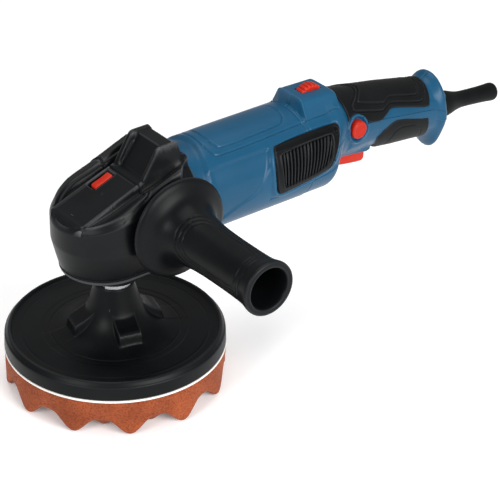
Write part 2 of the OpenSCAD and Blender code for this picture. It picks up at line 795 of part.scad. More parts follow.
module belly(grow = 0) {
    slab_y([[belly_x0 - grow, belly_z - grow], [belly_x1 + grow, belly_z - grow - 3],
        [belly_x1 + grow + 8, neck_z - 8], [belly_x0 - grow - 6, neck_z - 8]],
        -belly_half_w - grow, belly_half_w + grow);
}

module hump(grow = 0) intersection() {
    translate([hump_x0 - grow, 0, 0]) rotate([90, 0, 90]) linear_extrude(hump_x1 - hump_x0 + 2 * grow)
        polygon([[-hump_foot_half - grow, motor_z], [-hump_foot_half - grow, hump_foot_z],
            [-hump_top_half - grow, hump_z + grow], [hump_top_half + grow, hump_z + grow],
            [hump_foot_half + grow, hump_foot_z], [hump_foot_half + grow, motor_z]]);
    slab_y([[hump_x0 - grow, motor_z], [hump_x0 - grow, hump_z + grow], [hump_x1 - 8, hump_z - 2 + grow],
        [hump_x1 + grow, hump_foot_z + 6], [hump_x1 + grow, motor_z]], -far / 2, far / 2);
}

module rear_guard() intersection() {
    along_x(tail_x, tail_z) scale([rear_guard_h / rear_guard_w, 1, 1]) rotate_extrude($fn = 40)
        polygon([[0, -14], [tail_half_w - 1, -14], [rear_guard_w - 3, -2], [rear_guard_w, 1.5],
            [rear_guard_w - 0.5, 5], [rear_guard_w - 6, 11], [rear_guard_w - 12, rear_guard_t], [0, rear_guard_t]]);
    translate([0, -far / 2, 0]) cube([2 * far, far, far]);
}

module rear_housing(side) difference() {
    union() {
        difference() {
            union() {
                grip_form();
                belly();
                hump();
                rear_guard();
            }
            difference() {
                union() {
                    grip_form(-shell_wall);
                    rod_x(rear_x0 - 2 * cut, rear_x0 + 2 * cut, motor_in_r);
                    belly(-shell_wall);
                    hump(-shell_wall);
                }
                // solid tail that holds the cord guard
                translate([tail_x - tail_solid, -far / 2, 0]) cube([far, far, far]);
            }
        }
        shell_screw_places() rod_y(0, 0, -$half, $half, shell_boss_r);
    }
    // keep one half
    translate([-far, side > 0 ? -far : 0, -far / 2]) cube([3 * far, far, 2 * far]);
    // dial slot and axle
    translate([dial_x - dial_r - cut, -dial_half - gap, dial_z - dial_r - cut])
        cube([2 * (dial_r + cut), 2 * (dial_half + gap), far]);
    rod_y(dial_x, dial_z, -dial_half - bearing_wall, dial_half + bearing_wall, axle_r);
    // trigger mouth and pivot
    translate([trigger_x0 - cut, -trigger_half - gap, 0])
        cube([trigger_x1 - trigger_x0 + 3 * cut, 2 * (trigger_half + gap), switch_z0 - 0.5]);
    rod_y(pivot_x, pivot_z, -trigger_half - bearing_wall, trigger_half + bearing_wall, pivot_r);
    if (side < 0) rod_y(lock_on_x, lock_on_z, -far / 2, 0, lock_on_r + gap);
    if (side < 0) shell_screw_places() rod_y(0, 0, -far / 2, -screw_seat, shell_head_r + fit);
    shell_screw_places() rod_y(0, 0, -screw_seat - cut, screw_seat, screw_core);
    // cord guard seat
    translate([guard_x, 0, tail_z]) rotate([0, 90 + guard_tilt, 0]) {
        translate([0, 0, -far / 2]) cylinder(r = guard_root_r, h = far);
        translate([0, 0, -2 * guard_root_r]) cylinder(r = guard_flange_r, h = 2 * guard_root_r);
    }
    intake_slots(rear_x0 + slot_step, 3);
}

// Each place is x, height off the centreline; the boss ends in the wall of the housing
module shell_screw_places() {
    for (p = [[rear_x0 + 14, -26], [neck_x + 21, 16], [swell_x + 0.33 * (tail_x - swell_x), 6],
        [swell_x + 0.54 * (tail_x - swell_x), -12]])
        let ($half = form_w(p[0]) * sqrt(1 - pow((abs(p[1]) + shell_boss_r) / form_h(p[0]), 2)) - 1)
            translate([p[0], 0, form_z(p[0]) + p[1]]) children();
}

module rear_housing_right() color(c_blue) rear_housing(-1);

module rear_housing_left() color(c_blue) rear_housing(1);

module shell_screws() color(c_steel) shell_screw_places() {
    rod_y(0, 0, -screw_seat - 0.5, screw_seat - cut, shell_screw_r);
    difference() {
        rod_y(0, 0, -screw_seat - shell_head_h, -screw_seat, shell_head_r);
        rod_y(0, 0, -screw_seat - shell_head_h - cut, -screw_seat - cut, 1.3);
    }
}

module soft_skin() difference() {
    hull() {
        slice(neck_x + 4, neck_z - 0.5, neck_half_h - 0.5 + soft_t, neck_half_w - 0.6 + soft_t);
        slice(swell_x, swell_z, grip_half_h + soft_t, grip_half_w + soft_t);
    }
    grip_form();
    belly();
}

module soft_skin_rear() difference() {
    hull() {
        slice(swell_x + eps, swell_z, grip_half_h + soft_t, grip_half_w + soft_t);
        slice(tail_x - 8, tail_z + 3.5, tail_half_h + 0.6 + soft_t, tail_half_w + 0.6 + soft_t);
    }
    grip_form();
}

// The blue strip leaves the upper cover at this height, lower at the rear
function strip_z(x) = x < swell_x - 8 ? neck_z + 3 : neck_z + 2 - (x - swell_x) * 0.17;

module soft_region(lift) slab_y([[neck_x, strip_z(neck_x) + lift], [swell_x - 18, strip_z(neck_x) + lift],
    [swell_x - 4, strip_z(swell_x) + 6 + lift], [tail_x, strip_z(tail_x) + 5 + lift],
    [tail_x, far], [neck_x, far]], -far / 2, far / 2);

module soft_cover_top() color(c_black) difference() {
    intersection() {
        union() {
            soft_skin();
            soft_skin_rear();
        }
        soft_region(0);
    }
    rod_y(lock_on_x, lock_on_z, -far / 2, 0, lock_on_r + 2);
    rear_guard();
}

module soft_cover_bottom() color(c_black) difference() {
    intersection() {
        union() {
            soft_skin();
            soft_skin_rear();
        }
        translate([belly_x1 + 11, -far / 2, 0]) cube([far, far, far]);
    }
    soft_region(-13);
    rear_guard();
}

// ---------- Controls ----------
module speed_dial() color(c_red) difference() {
    rod_y(dial_x, dial_z, -dial_half, dial_half, dial_r);
    rod_y(dial_x, dial_z, -dial_half - 1, dial_half + 1, axle_r + run);
    for (a = [0 : 20 : 340]) translate([dial_x, 0, dial_z]) rotate([0, a, 0])
        translate([dial_r + 0.2, 0, 0]) cube([1.6, 2 * dial_half + 2, 1.4], center = true);
}

module dial_axle() color(c_steel)
    rod_y(dial_x, dial_z, -dial_half - bearing_wall, dial_half + bearing_wall, axle_r);

module speed_board() color([0.10, 0.35, 0.18])
    translate([rear_x0 + 10, -16, motor_z - 16]) cube([30, 32, 1.6]);

module switch_body() color(c_black) difference() {
    translate([switch_x0, -switch_half, switch_z0])
        cube([switch_x1 - switch_x0, 2 * switch_half, switch_z1 - switch_z0]);
    shell_screw_places() rod_y(0, 0, -far / 2, far / 2, shell_boss_r + fit);
}

module trigger() color(c_red) difference() {
    slab_y([[trigger_x0, trigger_front_z + 2], [trigger_x0 + 2, trigger_front_z],
        [trigger_x1 - 1, trigger_back_z], [trigger_x1, trigger_back_z + 2],
        [trigger_x1, trigger_back_z + 9], [trigger_x0 + 12, trigger_top], [trigger_x0, trigger_top - 1]],
        -trigger_half, trigger_half);
    slab_y([[trigger_x0 + 10, trigger_top - 8], [trigger_x1 - 3, trigger_back_z + 4],
        [trigger_x1 - 3, far], [trigger_x0 + 10, far]], -trigger_half + 2, trigger_half - 2);
    rod_y(pivot_x, pivot_z, -trigger_half - 1, trigger_half + 1, pivot_r + run);
}

module trigger_pin() color(c_steel)
    rod_y(pivot_x, pivot_z, -trigger_half - bearing_wall, trigger_half + bearing_wall, pivot_r);

module trigger_spring() color(c_steel) translate([trigger_x0 + 16, 0, trigger_front_z + 10]) difference() {
    cylinder(r = 3, h = switch_z0 - trigger_front_z - 10);
    translate([0, 0, -1]) cylinder(r = 2.2, h = 60);
}

module lock_on_button() color(c_red) {
    rod_y(lock_on_x, lock_on_z, -lock_on_out, -lock_on_in, lock_on_r);
    rod_y(lock_on_x, lock_on_z, -lock_on_in, -switch_half - lock_on_travel - 0.8, 3);
}

// ---------- Cord guard ----------
module guard_frame() translate([guard_x, 0, tail_z]) rotate([0, 90 + guard_tilt, 0]) children();

module cord_guard() color(c_black) guard_frame() difference() {
    rotate_extrude() polygon([[0, -11], [guard_flange_r, -11], [guard_flange_r, 0],
        [guard_root_r, 0], [guard_root_r, 15], [8, 21], [guard_tip_r, 28], [guard_tip_r - 0.3, guard_len + 7],
        [guard_tip_r - 1.2, guard_len + 10], [0, guard_len + 10]]);
    translate([0, 0, -12]) cylinder(r = cord_r, h = guard_len + 24);
}

module cord_clamp() color(c_black) translate([clamp_x, 0, clamp_z]) difference() {
    cube([7, 20, clamp_t], center = true);
    clamp_screw_places() cylinder(r = screw_core, h = 2 * clamp_t, center = true, $fn = 24);
}

module clamp_screw_places() { for (s = [-1, 1]) translate([0, s * 7.5, 0]) children(); }

module clamp_screws() color(c_steel) translate([clamp_x, 0, clamp_z]) clamp_screw_places() {
    translate([0, 0, -clamp_t / 2 - 0.5]) cylinder(r = shell_screw_r, h = clamp_t + 1);
    translate([0, 0, clamp_t / 2]) cylinder(r = shell_head_r - 0.4, h = 2);
}

// ---------- Side handle ----------
module side_handle() color(c_black) translate([handle_x, -head_r, handle_z]) rotate([90, 0, 0]) {
    g = handle_guard_r;
    hollow_r = handle_r - handle_wall;
    rotate_extrude() polygon([[handle_thread_r + run, 0], [13, 0], [13.5, 9], [g - 4, 7.5], [g - 1.5, 7],
        [g, 8.5], [g - 0.8, 11], [g - 5, 13], [g - 12, 16.5], [g - 16, 21], [g - 18.5, 27],
        [handle_r + 1, 34], [handle_r, 42], [handle_r, handle_len - 13], [handle_r + 1.2, handle_len - 8],
        [handle_r + 2.5, handle_len - 4], [handle_r + 2.5, handle_len - 1], [handle_r + 1.5, handle_len],
        [hollow_r + 1, handle_len], [hollow_r, handle_len - 1.5], [hollow_r, 42], [12, stud_out + 2],
        [handle_thread_r + run, stud_out + 2]]);
}

module side_handle_stud() color(c_steel)
    rod_y(handle_x, handle_z, -head_r - stud_out, -head_r + stud_in - 0.5, handle_thread_r);

foam_pad();
velcro_disc();
backing_pad();
pad_insert();
spindle();
crown_gear();
lower_bearing();
upper_bearing();
bearing_flange();
flange_screws();
gear_housing();
front_cover();
rear_cover();
cover_screws();
lock_button();
lock_pin();
lock_spring();
pinion();
pinion_nut();
armature_shaft();
armature_core();
armature_windings();
commutator();
cooling_fan();
front_motor_bearing();
rear_motor_bearing();
motor_housing();
housing_screws();
air_baffle();
stator_core();
field_coils();
brush_bracket();
brush_holders();
carbon_brushes();
brush_springs();
vent_cover_right();
vent_cover_left();
rear_housing_right();
rear_housing_left();
shell_screws();
soft_cover_top();
soft_cover_bottom();
speed_dial();
dial_axle();
speed_board();
switch_body();
trigger();
trigger_pin();
trigger_spring();
lock_on_button();
cord_guard();
cord_clamp();
clamp_screws();
side_handle();
side_handle_stud();
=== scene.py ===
# Rotary polisher: detailed outer shells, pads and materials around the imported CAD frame.
# Sizes inside this script are millimetres in the CAD frame; put() scales them to metres.
import math

import bmesh
import bpy
import numpy as np
from mathutils import Matrix, Vector


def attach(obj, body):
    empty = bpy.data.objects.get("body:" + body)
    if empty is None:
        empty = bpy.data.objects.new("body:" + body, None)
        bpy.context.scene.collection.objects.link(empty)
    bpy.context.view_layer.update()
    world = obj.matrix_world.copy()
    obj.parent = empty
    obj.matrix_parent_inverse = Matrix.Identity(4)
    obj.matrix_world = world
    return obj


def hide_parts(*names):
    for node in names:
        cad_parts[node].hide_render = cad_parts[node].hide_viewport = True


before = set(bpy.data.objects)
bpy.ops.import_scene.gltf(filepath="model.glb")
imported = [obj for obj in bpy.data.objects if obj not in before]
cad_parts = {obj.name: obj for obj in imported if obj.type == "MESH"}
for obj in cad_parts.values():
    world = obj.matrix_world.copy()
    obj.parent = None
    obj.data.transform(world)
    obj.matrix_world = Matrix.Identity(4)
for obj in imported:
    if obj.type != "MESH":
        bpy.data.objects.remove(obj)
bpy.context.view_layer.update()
MM = 0.001


# ---------------------------------------------------------------- materials
def new_material(name, base, rough, metallic=0.0, coat=0.0, sheen=0.0, tint=None, grain=900.0, bump=0.25,
                 deep=0.00006, blotch=14.0, spread=0.06, edge=None, edge_amount=0.0, cells=False,
                 stretch=None, specular=0.5, pores=False, subsurface=0.0):
    mat = bpy.data.materials.new(name)
    mat.use_nodes = True
    tree = mat.node_tree
    nodes, link = tree.nodes, tree.links.new
    shader = nodes["Principled BSDF"]
    shader.inputs["Metallic"].default_value = metallic
    shader.inputs["Coat Weight"].default_value = coat
    shader.inputs["Coat Roughness"].default_value = 0.25
    shader.inputs["Sheen Weight"].default_value = sheen
    shader.inputs["Sheen Roughness"].default_value = 0.5
    shader.inputs["Specular IOR Level"].default_value = specular
    shader.inputs["Subsurface Weight"].default_value = subsurface
    shader.inputs["Subsurface Radius"].default_value = (0.004, 0.002, 0.001)
    where = nodes.new("ShaderNodeTexCoord")
    source = where.outputs["Object"]
    if stretch:
        mapping = nodes.new("ShaderNodeMapping")
        mapping.inputs["Scale"].default_value = stretch
        link(source, mapping.inputs["Vector"])
        source = mapping.outputs["Vector"]
    # broad, faint change of colour and gloss over the surface
    broad = nodes.new("ShaderNodeTexNoise")
    broad.inputs["Scale"].default_value = blotch
    broad.inputs["Detail"].default_value = 6.0
    broad.inputs["Roughness"].default_value = 0.6
    link(source, broad.inputs["Vector"])
    ramp = nodes.new("ShaderNodeValToRGB")
    ramp.color_ramp.elements[0].position = 0.32
    ramp.color_ramp.elements[1].position = 0.68
    low = [c * (1.0 - spread * 2.2) for c in base]
    high = [min(1.0, c * (1.0 + spread * 2.2) + spread * 0.02) for c in (tint or base)]
    ramp.color_ramp.elements[0].color = (*low, 1.0)
    ramp.color_ramp.elements[1].color = (*high, 1.0)
    link(broad.outputs["Fac"], ramp.inputs["Fac"])
    colour = ramp.outputs["Color"]
    # fine moulded grain
    if cells:
        fine = nodes.new("ShaderNodeTexVoronoi")
        fine.feature = "SMOOTH_F1" if not pores else "F1"
        fine.inputs["Scale"].default_value = grain
        height = fine.outputs["Distance"]
    else:
        fine = nodes.new("ShaderNodeTexNoise")
        fine.inputs["Scale"].default_value = grain
        fine.inputs["Detail"].default_value = 3.0
        height = fine.outputs["Fac"]
    link(source, fine.inputs["Vector"])
    # painted shade in the pores: the colour is darkened at the Voronoi cell centres, where the bump sinks
    # pits
    if pores:
        pore_shade = nodes.new("ShaderNodeValToRGB")
        pore_shade.color_ramp.elements[0].position = 0.12
        pore_shade.color_ramp.elements[1].position = 0.55
        pore_shade.color_ramp.elements[0].color = (0.52, 0.40, 0.34, 1.0)
        pore_shade.color_ramp.elements[1].color = (1.0, 1.0, 1.0, 1.0)
        link(height, pore_shade.inputs["Fac"])
        multiply = nodes.new("ShaderNodeMix")
        multiply.data_type = "RGBA"
        multiply.blend_type = "MULTIPLY"
        multiply.inputs["Factor"].default_value = 0.8
        link(colour, multiply.inputs["A"])
        link(pore_shade.outputs["Color"], multiply.inputs["B"])
        colour = multiply.outputs["Result"]
    if edge:
        # painted edge highlight, partly also rubbed wear: raised corners are lighter and a little shinier
        geometry = nodes.new("ShaderNodeNewGeometry")
        edge_wear_highlight = nodes.new("ShaderNodeValToRGB")
        edge_wear_highlight.color_ramp.elements[0].position = 0.515
        edge_wear_highlight.color_ramp.elements[1].position = 0.60
        edge_wear_highlight.color_ramp.elements[0].color = (0.0, 0.0, 0.0, 1.0)
        edge_wear_highlight.color_ramp.elements[1].color = (edge_amount, edge_amount, edge_amount, 1.0)
        link(geometry.outputs["Pointiness"], edge_wear_highlight.inputs["Fac"])
        edge_wear_highlight_mix = nodes.new("ShaderNodeMix")
        edge_wear_highlight_mix.data_type = "RGBA"
        link(edge_wear_highlight.outputs["Color"], edge_wear_highlight_mix.inputs["Factor"])
        link(colour, edge_wear_highlight_mix.inputs["A"])
        edge_wear_highlight_mix.inputs["B"].default_value = (*edge, 1.0)
        colour = edge_wear_highlight_mix.outputs["Result"]
    link(colour, shader.inputs["Base Color"])
    gloss = nodes.new("ShaderNodeMapRange")
    gloss.inputs["To Min"].default_value = max(0.05, rough - 0.07)
    gloss.inputs["To Max"].default_value = min(1.0, rough + 0.07)
    link(broad.outputs["Fac"], gloss.inputs["Value"])
    link(gloss.outputs["Result"], shader.inputs["Roughness"])
    relief = nodes.new("ShaderNodeBump")
    relief.inputs["Strength"].default_value = bump
    relief.inputs["Distance"].default_value = deep
    link(height, relief.inputs["Height"])
    link(relief.outputs["Normal"], shader.inputs["Normal"])
    return mat


# the edge colours below are painted edge highlights, partly also rubbed wear, lighter than each base colour
GREY_EDGE = (0.075, 0.08, 0.088)
blue = new_material("blue_plastic", (0.0045, 0.054, 0.112), 0.34, coat=0.04, tint=(0.0055, 0.059, 0.122),
                    specular=0.17, grain=1500, bump=0.22, deep=0.00005, spread=0.03,
                    edge=(0.04, 0.16, 0.30), edge_amount=0.45, cells=True)
black = new_material("black_plastic", (0.0024, 0.0029, 0.0033), 0.38, specular=0.10, grain=1400, bump=0.25,
                     deep=0.00005, spread=0.10, edge=GREY_EDGE, edge_amount=0.45, cells=True)
black_cast = new_material("black_paint", (0.0026, 0.0031, 0.0036), 0.34, specular=0.12, grain=1700, bump=0.30,
                          deep=0.00006, spread=0.12, edge=(0.15, 0.155, 0.165), edge_amount=0.7, cells=True)
rubber = new_material("soft_rubber", (0.0032, 0.0036, 0.0040), 0.50, specular=0.09, grain=1900, bump=0.45,
                      deep=0.00007, spread=0.10, edge=(0.07, 0.073, 0.078), edge_amount=0.4, cells=True)
red = new_material("red_plastic", (0.36, 0.011, 0.003), 0.36, specular=0.15, tint=(0.39, 0.013, 0.004),
                   grain=1500, bump=0.15, spread=0.04, edge=(0.62, 0.08, 0.03), edge_amount=0.5, cells=True)
foam_mat = new_material("orange_foam", (0.235, 0.052, 0.017), 0.95, sheen=0.06, tint=(0.275, 0.064, 0.021),
                        grain=620, bump=0.9, deep=0.0006, blotch=40, spread=0.06, cells=True, pores=True,
                        specular=0.15, subsurface=0.08)
loop = new_material("white_loop", (0.74, 0.72, 0.68), 0.9, sheen=0.5, grain=1600, bump=0.8, deep=0.0003,
                    spread=0.05, specular=0.2)
steel = new_material("turned_steel", (0.62, 0.63, 0.65), 0.26, metallic=1.0, grain=260, bump=0.12,
                     deep=0.00004, blotch=60, spread=0.04, stretch=(1.0, 1.0, 14.0))
dark_steel = new_material("blued_steel", (0.16, 0.165, 0.175), 0.34, metallic=1.0, grain=900, bump=0.15,
                          blotch=50, spread=0.08)
copper = new_material("copper_wire", (0.62, 0.26, 0.11), 0.33, metallic=1.0, grain=700, bump=0.35,
                      deep=0.0001, spread=0.10, stretch=(8.0, 1.0, 1.0))
brass = new_material("brass", (0.66, 0.47, 0.18), 0.30, metallic=1.0, grain=900, bump=0.12, spread=0.06)
carbon = new_material("carbon", (0.045, 0.045, 0.05), 0.70, grain=1100, bump=0.4, deep=0.0001, spread=0.14)
board = new_material("board_green", (0.015, 0.12, 0.05), 0.45, grain=700, bump=0.2, spread=0.12)

node_looks = {"velcro_disc": loop, "pad_insert": steel, "spindle": steel, "crown_gear": dark_steel,
              "lower_bearing": steel, "upper_bearing": brass, "bearing_flange": black_cast,
              "flange_screws": dark_steel, "cover_screws": dark_steel, "lock_pin": steel,
              "lock_spring": steel, "pinion": dark_steel, "pinion_nut": dark_steel, "armature_shaft": steel,
              "armature_core": dark_steel, "armature_windings": copper, "commutator": copper,
              "cooling_fan": black, "front_motor_bearing": steel, "rear_motor_bearing": steel,
              "housing_screws": dark_steel, "air_baffle": black, "stator_core": dark_steel,
              "field_coils": copper, "brush_bracket": black, "brush_holders": brass,
              "carbon_brushes": carbon, "brush_springs": steel, "shell_screws": dark_steel,
              "dial_axle": steel, "speed_board": board, "switch_body": black, "trigger_pin": steel,
              "trigger_spring": steel, "cord_clamp": black, "clamp_screws": dark_steel,
              "side_handle_stud": steel, }
for name, look in node_looks.items():
    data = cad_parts[name].data
    data.materials.clear()
    data.materials.append(look)


# ---------------------------------------------------------------- mesh helpers
def step(a, b, x):
    t = np.clip((np.asarray(x, float) - a) / (b - a), 0, 1)
    return t * t * (3 - 2 * t)


def smax(a, b, k):
    return 0.5 * (a + b + np.sqrt((a - b) ** 2 + k * k))


def smin(a, b, k):
    return -smax(-a, -b, k)


def table(pairs, x):
    p = np.array(pairs, float)
    return np.interp(x, p[:, 0], p[:, 1])


def line_distance(px, py, points, closed=False):
    p = np.array(points, float)
    if closed:
        p = np.vstack([p, p[:1]])
    best = np.full(np.shape(px), 1e9)
    for a, b in zip(p[:-1], p[1:]):
        d = b - a
        t = np.clip(((px - a[0]) * d[0] + (py - a[1]) * d[1]) / max(d @ d, 1e-12), 0, 1)
        best = np.minimum(best, np.hypot(px - a[0] - t * d[0], py - a[1] - t * d[1]))
    return best


def region_distance(px, py, points):
    """Distance to a closed outline, negative inside it."""
    p = np.array(points, float)
    inside = np.zeros(np.shape(px), bool)
    for a, b in zip(p, np.roll(p, -1, axis=0)):
        crosses = (a[1] > py) != (b[1] > py)
        with np.errstate(divide="ignore", invalid="ignore"):
            at = (b[0] - a[0]) * (py - a[1]) / (b[1] - a[1] + 1e-15) + a[0]
        inside ^= crosses & (px < at)
    return line_distance(px, py, points, True) * np.where(inside, -1, 1)


def rounded(points, passes=2, closed=False):
    """Cuts the corners of a line so that it turns smoothly."""
    p = np.array(points, float)
    for _ in range(passes):
        nxt = np.roll(p, -1, axis=0) if closed else p[1:]
        cur = p if closed else p[:-1]
        q = np.empty((2 * len(cur), p.shape[1]))
        q[0::2] = cur * 0.75 + nxt * 0.25
        q[1::2] = cur * 0.25 + nxt * 0.75
        p = q if closed else np.vstack([p[:1], q, p[-1:]])
    return p


def resample(points, count):
    p = np.array(points, float)
    s = np.r_[0, np.cumsum(np.linalg.norm(np.diff(p, axis=0), axis=1))]
    t = np.linspace(0, s[-1], count)
    return np.stack([np.interp(t, s, p[:, k]) for k in range(p.shape[1])], -1)


def spaced(points, pitch):
    p = np.array(points, float)
    length = np.linalg.norm(np.diff(p, axis=0), axis=1).sum()
    return resample(p, max(3, int(length / pitch) + 1))


def groove(distance, depth, width):
    return -depth * (0.5 + 0.5 * np.cos(math.pi * np.clip(distance / width, 0, 1)))


def quads(n, m, wrap_rows=False, wrap_cols=False, flip=False, base=0):
    i = np.arange(n if wrap_rows else n - 1)
    j = np.arange(m if wrap_cols else m - 1)
    i, j = np.meshgrid(i, j, indexing="ij")
    a, b = i * m + j, ((i + 1) % n) * m + j
    c, d = ((i + 1) % n) * m + (j + 1) % m, i * m + (j + 1) % m
    f = np.stack([a, b, c, d], -1).reshape(-1, 4) + base
    return f[:, ::-1] if flip else f


def put(name, verts, faces, material, body, replaces=(), slot=None, sharp=32.0):
    """Makes a mesh object from millimetre vertices, closes its poles, and hangs it on a CAD body."""
    mesh = bpy.data.meshes.new(name)
    mesh.from_pydata((np.asarray(verts, float) * MM).tolist(), [], [list(map(int, f)) for f in faces])
    bm = bmesh.new()
    bm.from_mesh(mesh)
    bmesh.ops.remove_doubles(bm, verts=bm.verts, dist=2e-7)
    bmesh.ops.dissolve_degenerate(bm, dist=2e-7, edges=bm.edges)
    bmesh.ops.recalc_face_normals(bm, faces=bm.faces)
    if bm.calc_volume(signed=True) < 0:
        bmesh.ops.reverse_faces(bm, faces=bm.faces)
    bm.to_mesh(mesh)
    bm.free()
    mesh.shade_smooth()
    mesh.set_sharp_from_angle(angle=math.radians(sharp))
    mesh.materials.append(material)
    obj = bpy.data.objects.new(name, mesh)
    bpy.context.scene.collection.objects.link(obj)
    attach(obj, body)
    if replaces:
        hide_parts(*replaces)
    return obj


def skin(name, outer, inner, material, body, wrap_cols=False, cap_first=True, cap_last=True, **more):
    """A closed wall between an outer and an inner grid, joined round their borders."""
    n, m, _ = outer.shape
    count = n * m
    faces = [quads(n, m, wrap_cols=wrap_cols), quads(n, m, wrap_cols=wrap_cols, flip=True, base=count)]
    j = np.arange(m if wrap_cols else m - 1)
    k = (j + 1) % m
    if cap_first:
        faces.append(np.stack([j, k, k + count, j + count], -1))
    if cap_last:
        e = (n - 1) * m
        faces.append(np.stack([k + e, j + e, j + e + count, k + e + count], -1))
    if not wrap_cols:
        i = np.arange(n - 1) * m
        faces.append(np.stack([i + m, i, i + count, i + m + count], -1))
        i = i + m - 1
        faces.append(np.stack([i, i + m, i + m + count, i + count], -1))
    verts = np.vstack([outer.reshape(-1, 3), inner.reshape(-1, 3)])
    return put(name, verts, np.vstack(faces), material, body, **more)


def turned(name, profile, place, material, body, count=128, change=None, loop_profile=True, **more):
    """A turned piece: profile is (radius, height) round the local Z axis, place maps local to frame."""
    profile = np.array(profile, float)
    angle = np.linspace(0, 2 * math.pi, count, endpoint=False)
    r = np.repeat(profile[:, :1], count, 1)
    h = np.repeat(profile[:, 1:2], count, 1)
    a = np.repeat(angle[None], len(profile), 0)
    if change is not None:
        r, h = change(r, h, a)
    local = np.stack([r * np.cos(a), r * np.sin(a), h], -1)
    verts = local.reshape(-1, 3)
    if place is not None:
        verts = place(verts)
    return put(name, verts, quads(len(profile), count, loop_profile, True), material, body, **more)


def block(name, outline, y0, y1, material, body, bevel=0.8, segments=3, **more):
    """An outline in x and z, drawn out along y, with rounded edges."""
    p = np.array(outline, float)
    n = len(p)
    verts = np.vstack([np.c_[p[:, 0], np.full(n, y0), p[:, 1]], np.c_[p[:, 0], np.full(n, y1), p[:, 1]]])
    faces = [list(range(n)), list(range(2 * n - 1, n - 1, -1))]
    faces += [[i, (i + 1) % n, (i + 1) % n + n, i + n] for i in range(n)]
    obj = put(name, verts, faces, material, body, **more)
    bm = bmesh.new()
    bm.from_mesh(obj.data)
    edges = [e for e in bm.edges if e.calc_face_angle(0) > math.radians(20)]
    bmesh.ops.bevel(bm, geom=edges, offset=bevel * MM, segments=segments, affect="EDGES", profile=0.5,
                    clamp_overlap=True)
    bm.to_mesh(obj.data)
    bm.free()
    obj.data.shade_smooth()
    obj.data.set_sharp_from_angle(angle=math.radians(30))
    return obj


AXIS_Z = 144.0


# ---------------------------------------------------------------- foam pad
PAD_R = 85.0
FOAM_TOP = 30.0
LOBES = 12
LOBE_TURN = math.radians(-87.5)
WAVE_DEPTH = 12.6
EDGE_RUN = 5.0


def foam_waves(r, a):
    ring = np.cos(LOBES * (a - LOBE_TURN)) * np.cos(math.pi * (PAD_R - r) / 17.0)
    ring = ring * step(12, 40, r)
    return WAVE_DEPTH * (1 - (0.5 + 0.5 * ring) ** 1.45)


def foam_shape(r, h, a):
    # h runs 30 at the top to 0 at the lower edge; below 0 it counts inwards along the underside
    edge = foam_waves(np.full_like(a, PAD_R), a)
    low = np.clip(-h, 0, None)
    round_r = 3.2
    turn = np.clip(low / EDGE_RUN, 0, 1) * math.pi / 2
    r_side = PAD_R - 0.9 * (edge / WAVE_DEPTH) * step(20, 2, h) - 0.5 * step(26, 30, h)
    r_out = np.where(h >= 0, np.where(h >= FOAM_TOP - 1e-6, r, r_side), r_side - round_r * (1 - np.cos(turn)))
    z_side = edge + round_r + (FOAM_TOP - edge - round_r) * (h / FOAM_TOP)
    z_turn = edge + round_r * (1 - np.sin(turn))
    inward = low > EDGE_RUN
    r_final = np.where(inward, r, r_out)
    z_bottom = foam_waves(r, a)
    mix = step(PAD_R - round_r - 6, PAD_R - round_r, r)
    z_bottom = z_bottom * (1 - mix) + edge * mix
    z = np.where(h >= 0, z_side, np.where(inward, z_bottom, z_turn))
    return r_final, z


foam_rows = ([(r, FOAM_TOP) for r in (0.0, 25, 50, 70, 80, 83.5, 85.02)]
             + [(85.06, 30.9), (85.3, 30.8), (85.36, 30.2)])
foam_rows += [(PAD_R, h) for h in (FOAM_TOP - 0.8, *np.linspace(28, 0, 22))]
foam_rows += [(PAD_R, -low) for low in np.linspace(0.8, EDGE_RUN, 6)]
foam_rows += [(r, -10.0) for r in np.arange(80.6, 1.0, -1.1)] + [(0.0, -10.0)]
foam = turned("foam_pad_waved", foam_rows, None, foam_mat, "pad_spindle", 576, foam_shape, loop_profile=False,
              replaces=("foam_pad",), slot="orange_foam", sharp=60)

# ---------------------------------------------------------------- backing pad
PLATE_Z = 31.5
plate_line = rounded([(85.0, 0.4), (85.0, 4.5), (84.9, 8.5), (84.7, 10.9), (83.9, 11.3), (83.7, 11.6),
                      (82.0, 14.2), (81.0, 14.7), (80.0, 14.2), (78.6, 12.0), (77.2, 11.8), (74.0, 11.6),
                      (58.0, 12.2), (46.0, 12.8), (38.0, 15.2), (31.0, 19.4), (26.0, 24.5), (22.2, 30.5),
                      (19.6, 37.0), (17.6, 44.0), (16.2, 49.0), (15.4, 51.8), (14.6, 52.5)], 2)
plate_rows = [(11.2, 0.0), (40.0, 0.0), (70.0, 0.0), (84.2, 0.0)] + spaced(plate_line, 0.75).tolist() \
    + [(13.5, 52.5), (11.2, 52.5), (11.2, 30.0)]


WEDGE_TURN = math.radians(30)


def plate_shape(r, h, a):
    on_top = (r < 78) & (r > 15.6) & (h > 5)
    q = (a - WEDGE_TURN) % (math.pi / 2) - math.pi / 4
    along, across = r * np.cos(q), np.abs(r * np.sin(q))
    top = table([(15, 37.0), (22, 31), (28, 27.6), (33, 25.6), (35, 23.6), (37.2, 13.0), (60, 6)], along)
    wedge = top - 16 * step(8.4, 11.0, across)
    # shallow ring and fine ribs moulded in the plate's dish
    dish = groove(np.abs(r - 72.0), 0.55, 0.9) + groove(np.abs(r - 50.0), 0.4, 0.8)
    z = np.where(on_top, smax(h + dish, wedge, 1.6) - 0.4, h)
    z = np.where(on_top & (r > 56), h + dish, z)
    return r, z + PLATE_Z


turned("backing_pad_plate", plate_rows, None, black, "pad_spindle", 512, plate_shape,
       replaces=("backing_pad",), slot="black_rubber", sharp=40)

# ---------------------------------------------------------------- gear head
NOSE_X, NOSE_R, HEAD_X1 = -8.0, 40.0, 54.0
BARREL_R = 38.3
POCKET_Z = 156.0


def wall_top(x):
    return 145.0 + 0.30 * (x + 48.0)


def band_inset(x):
    return np.clip(1.6 + (x + 48.0) * 0.042, 1.6, 4.4)


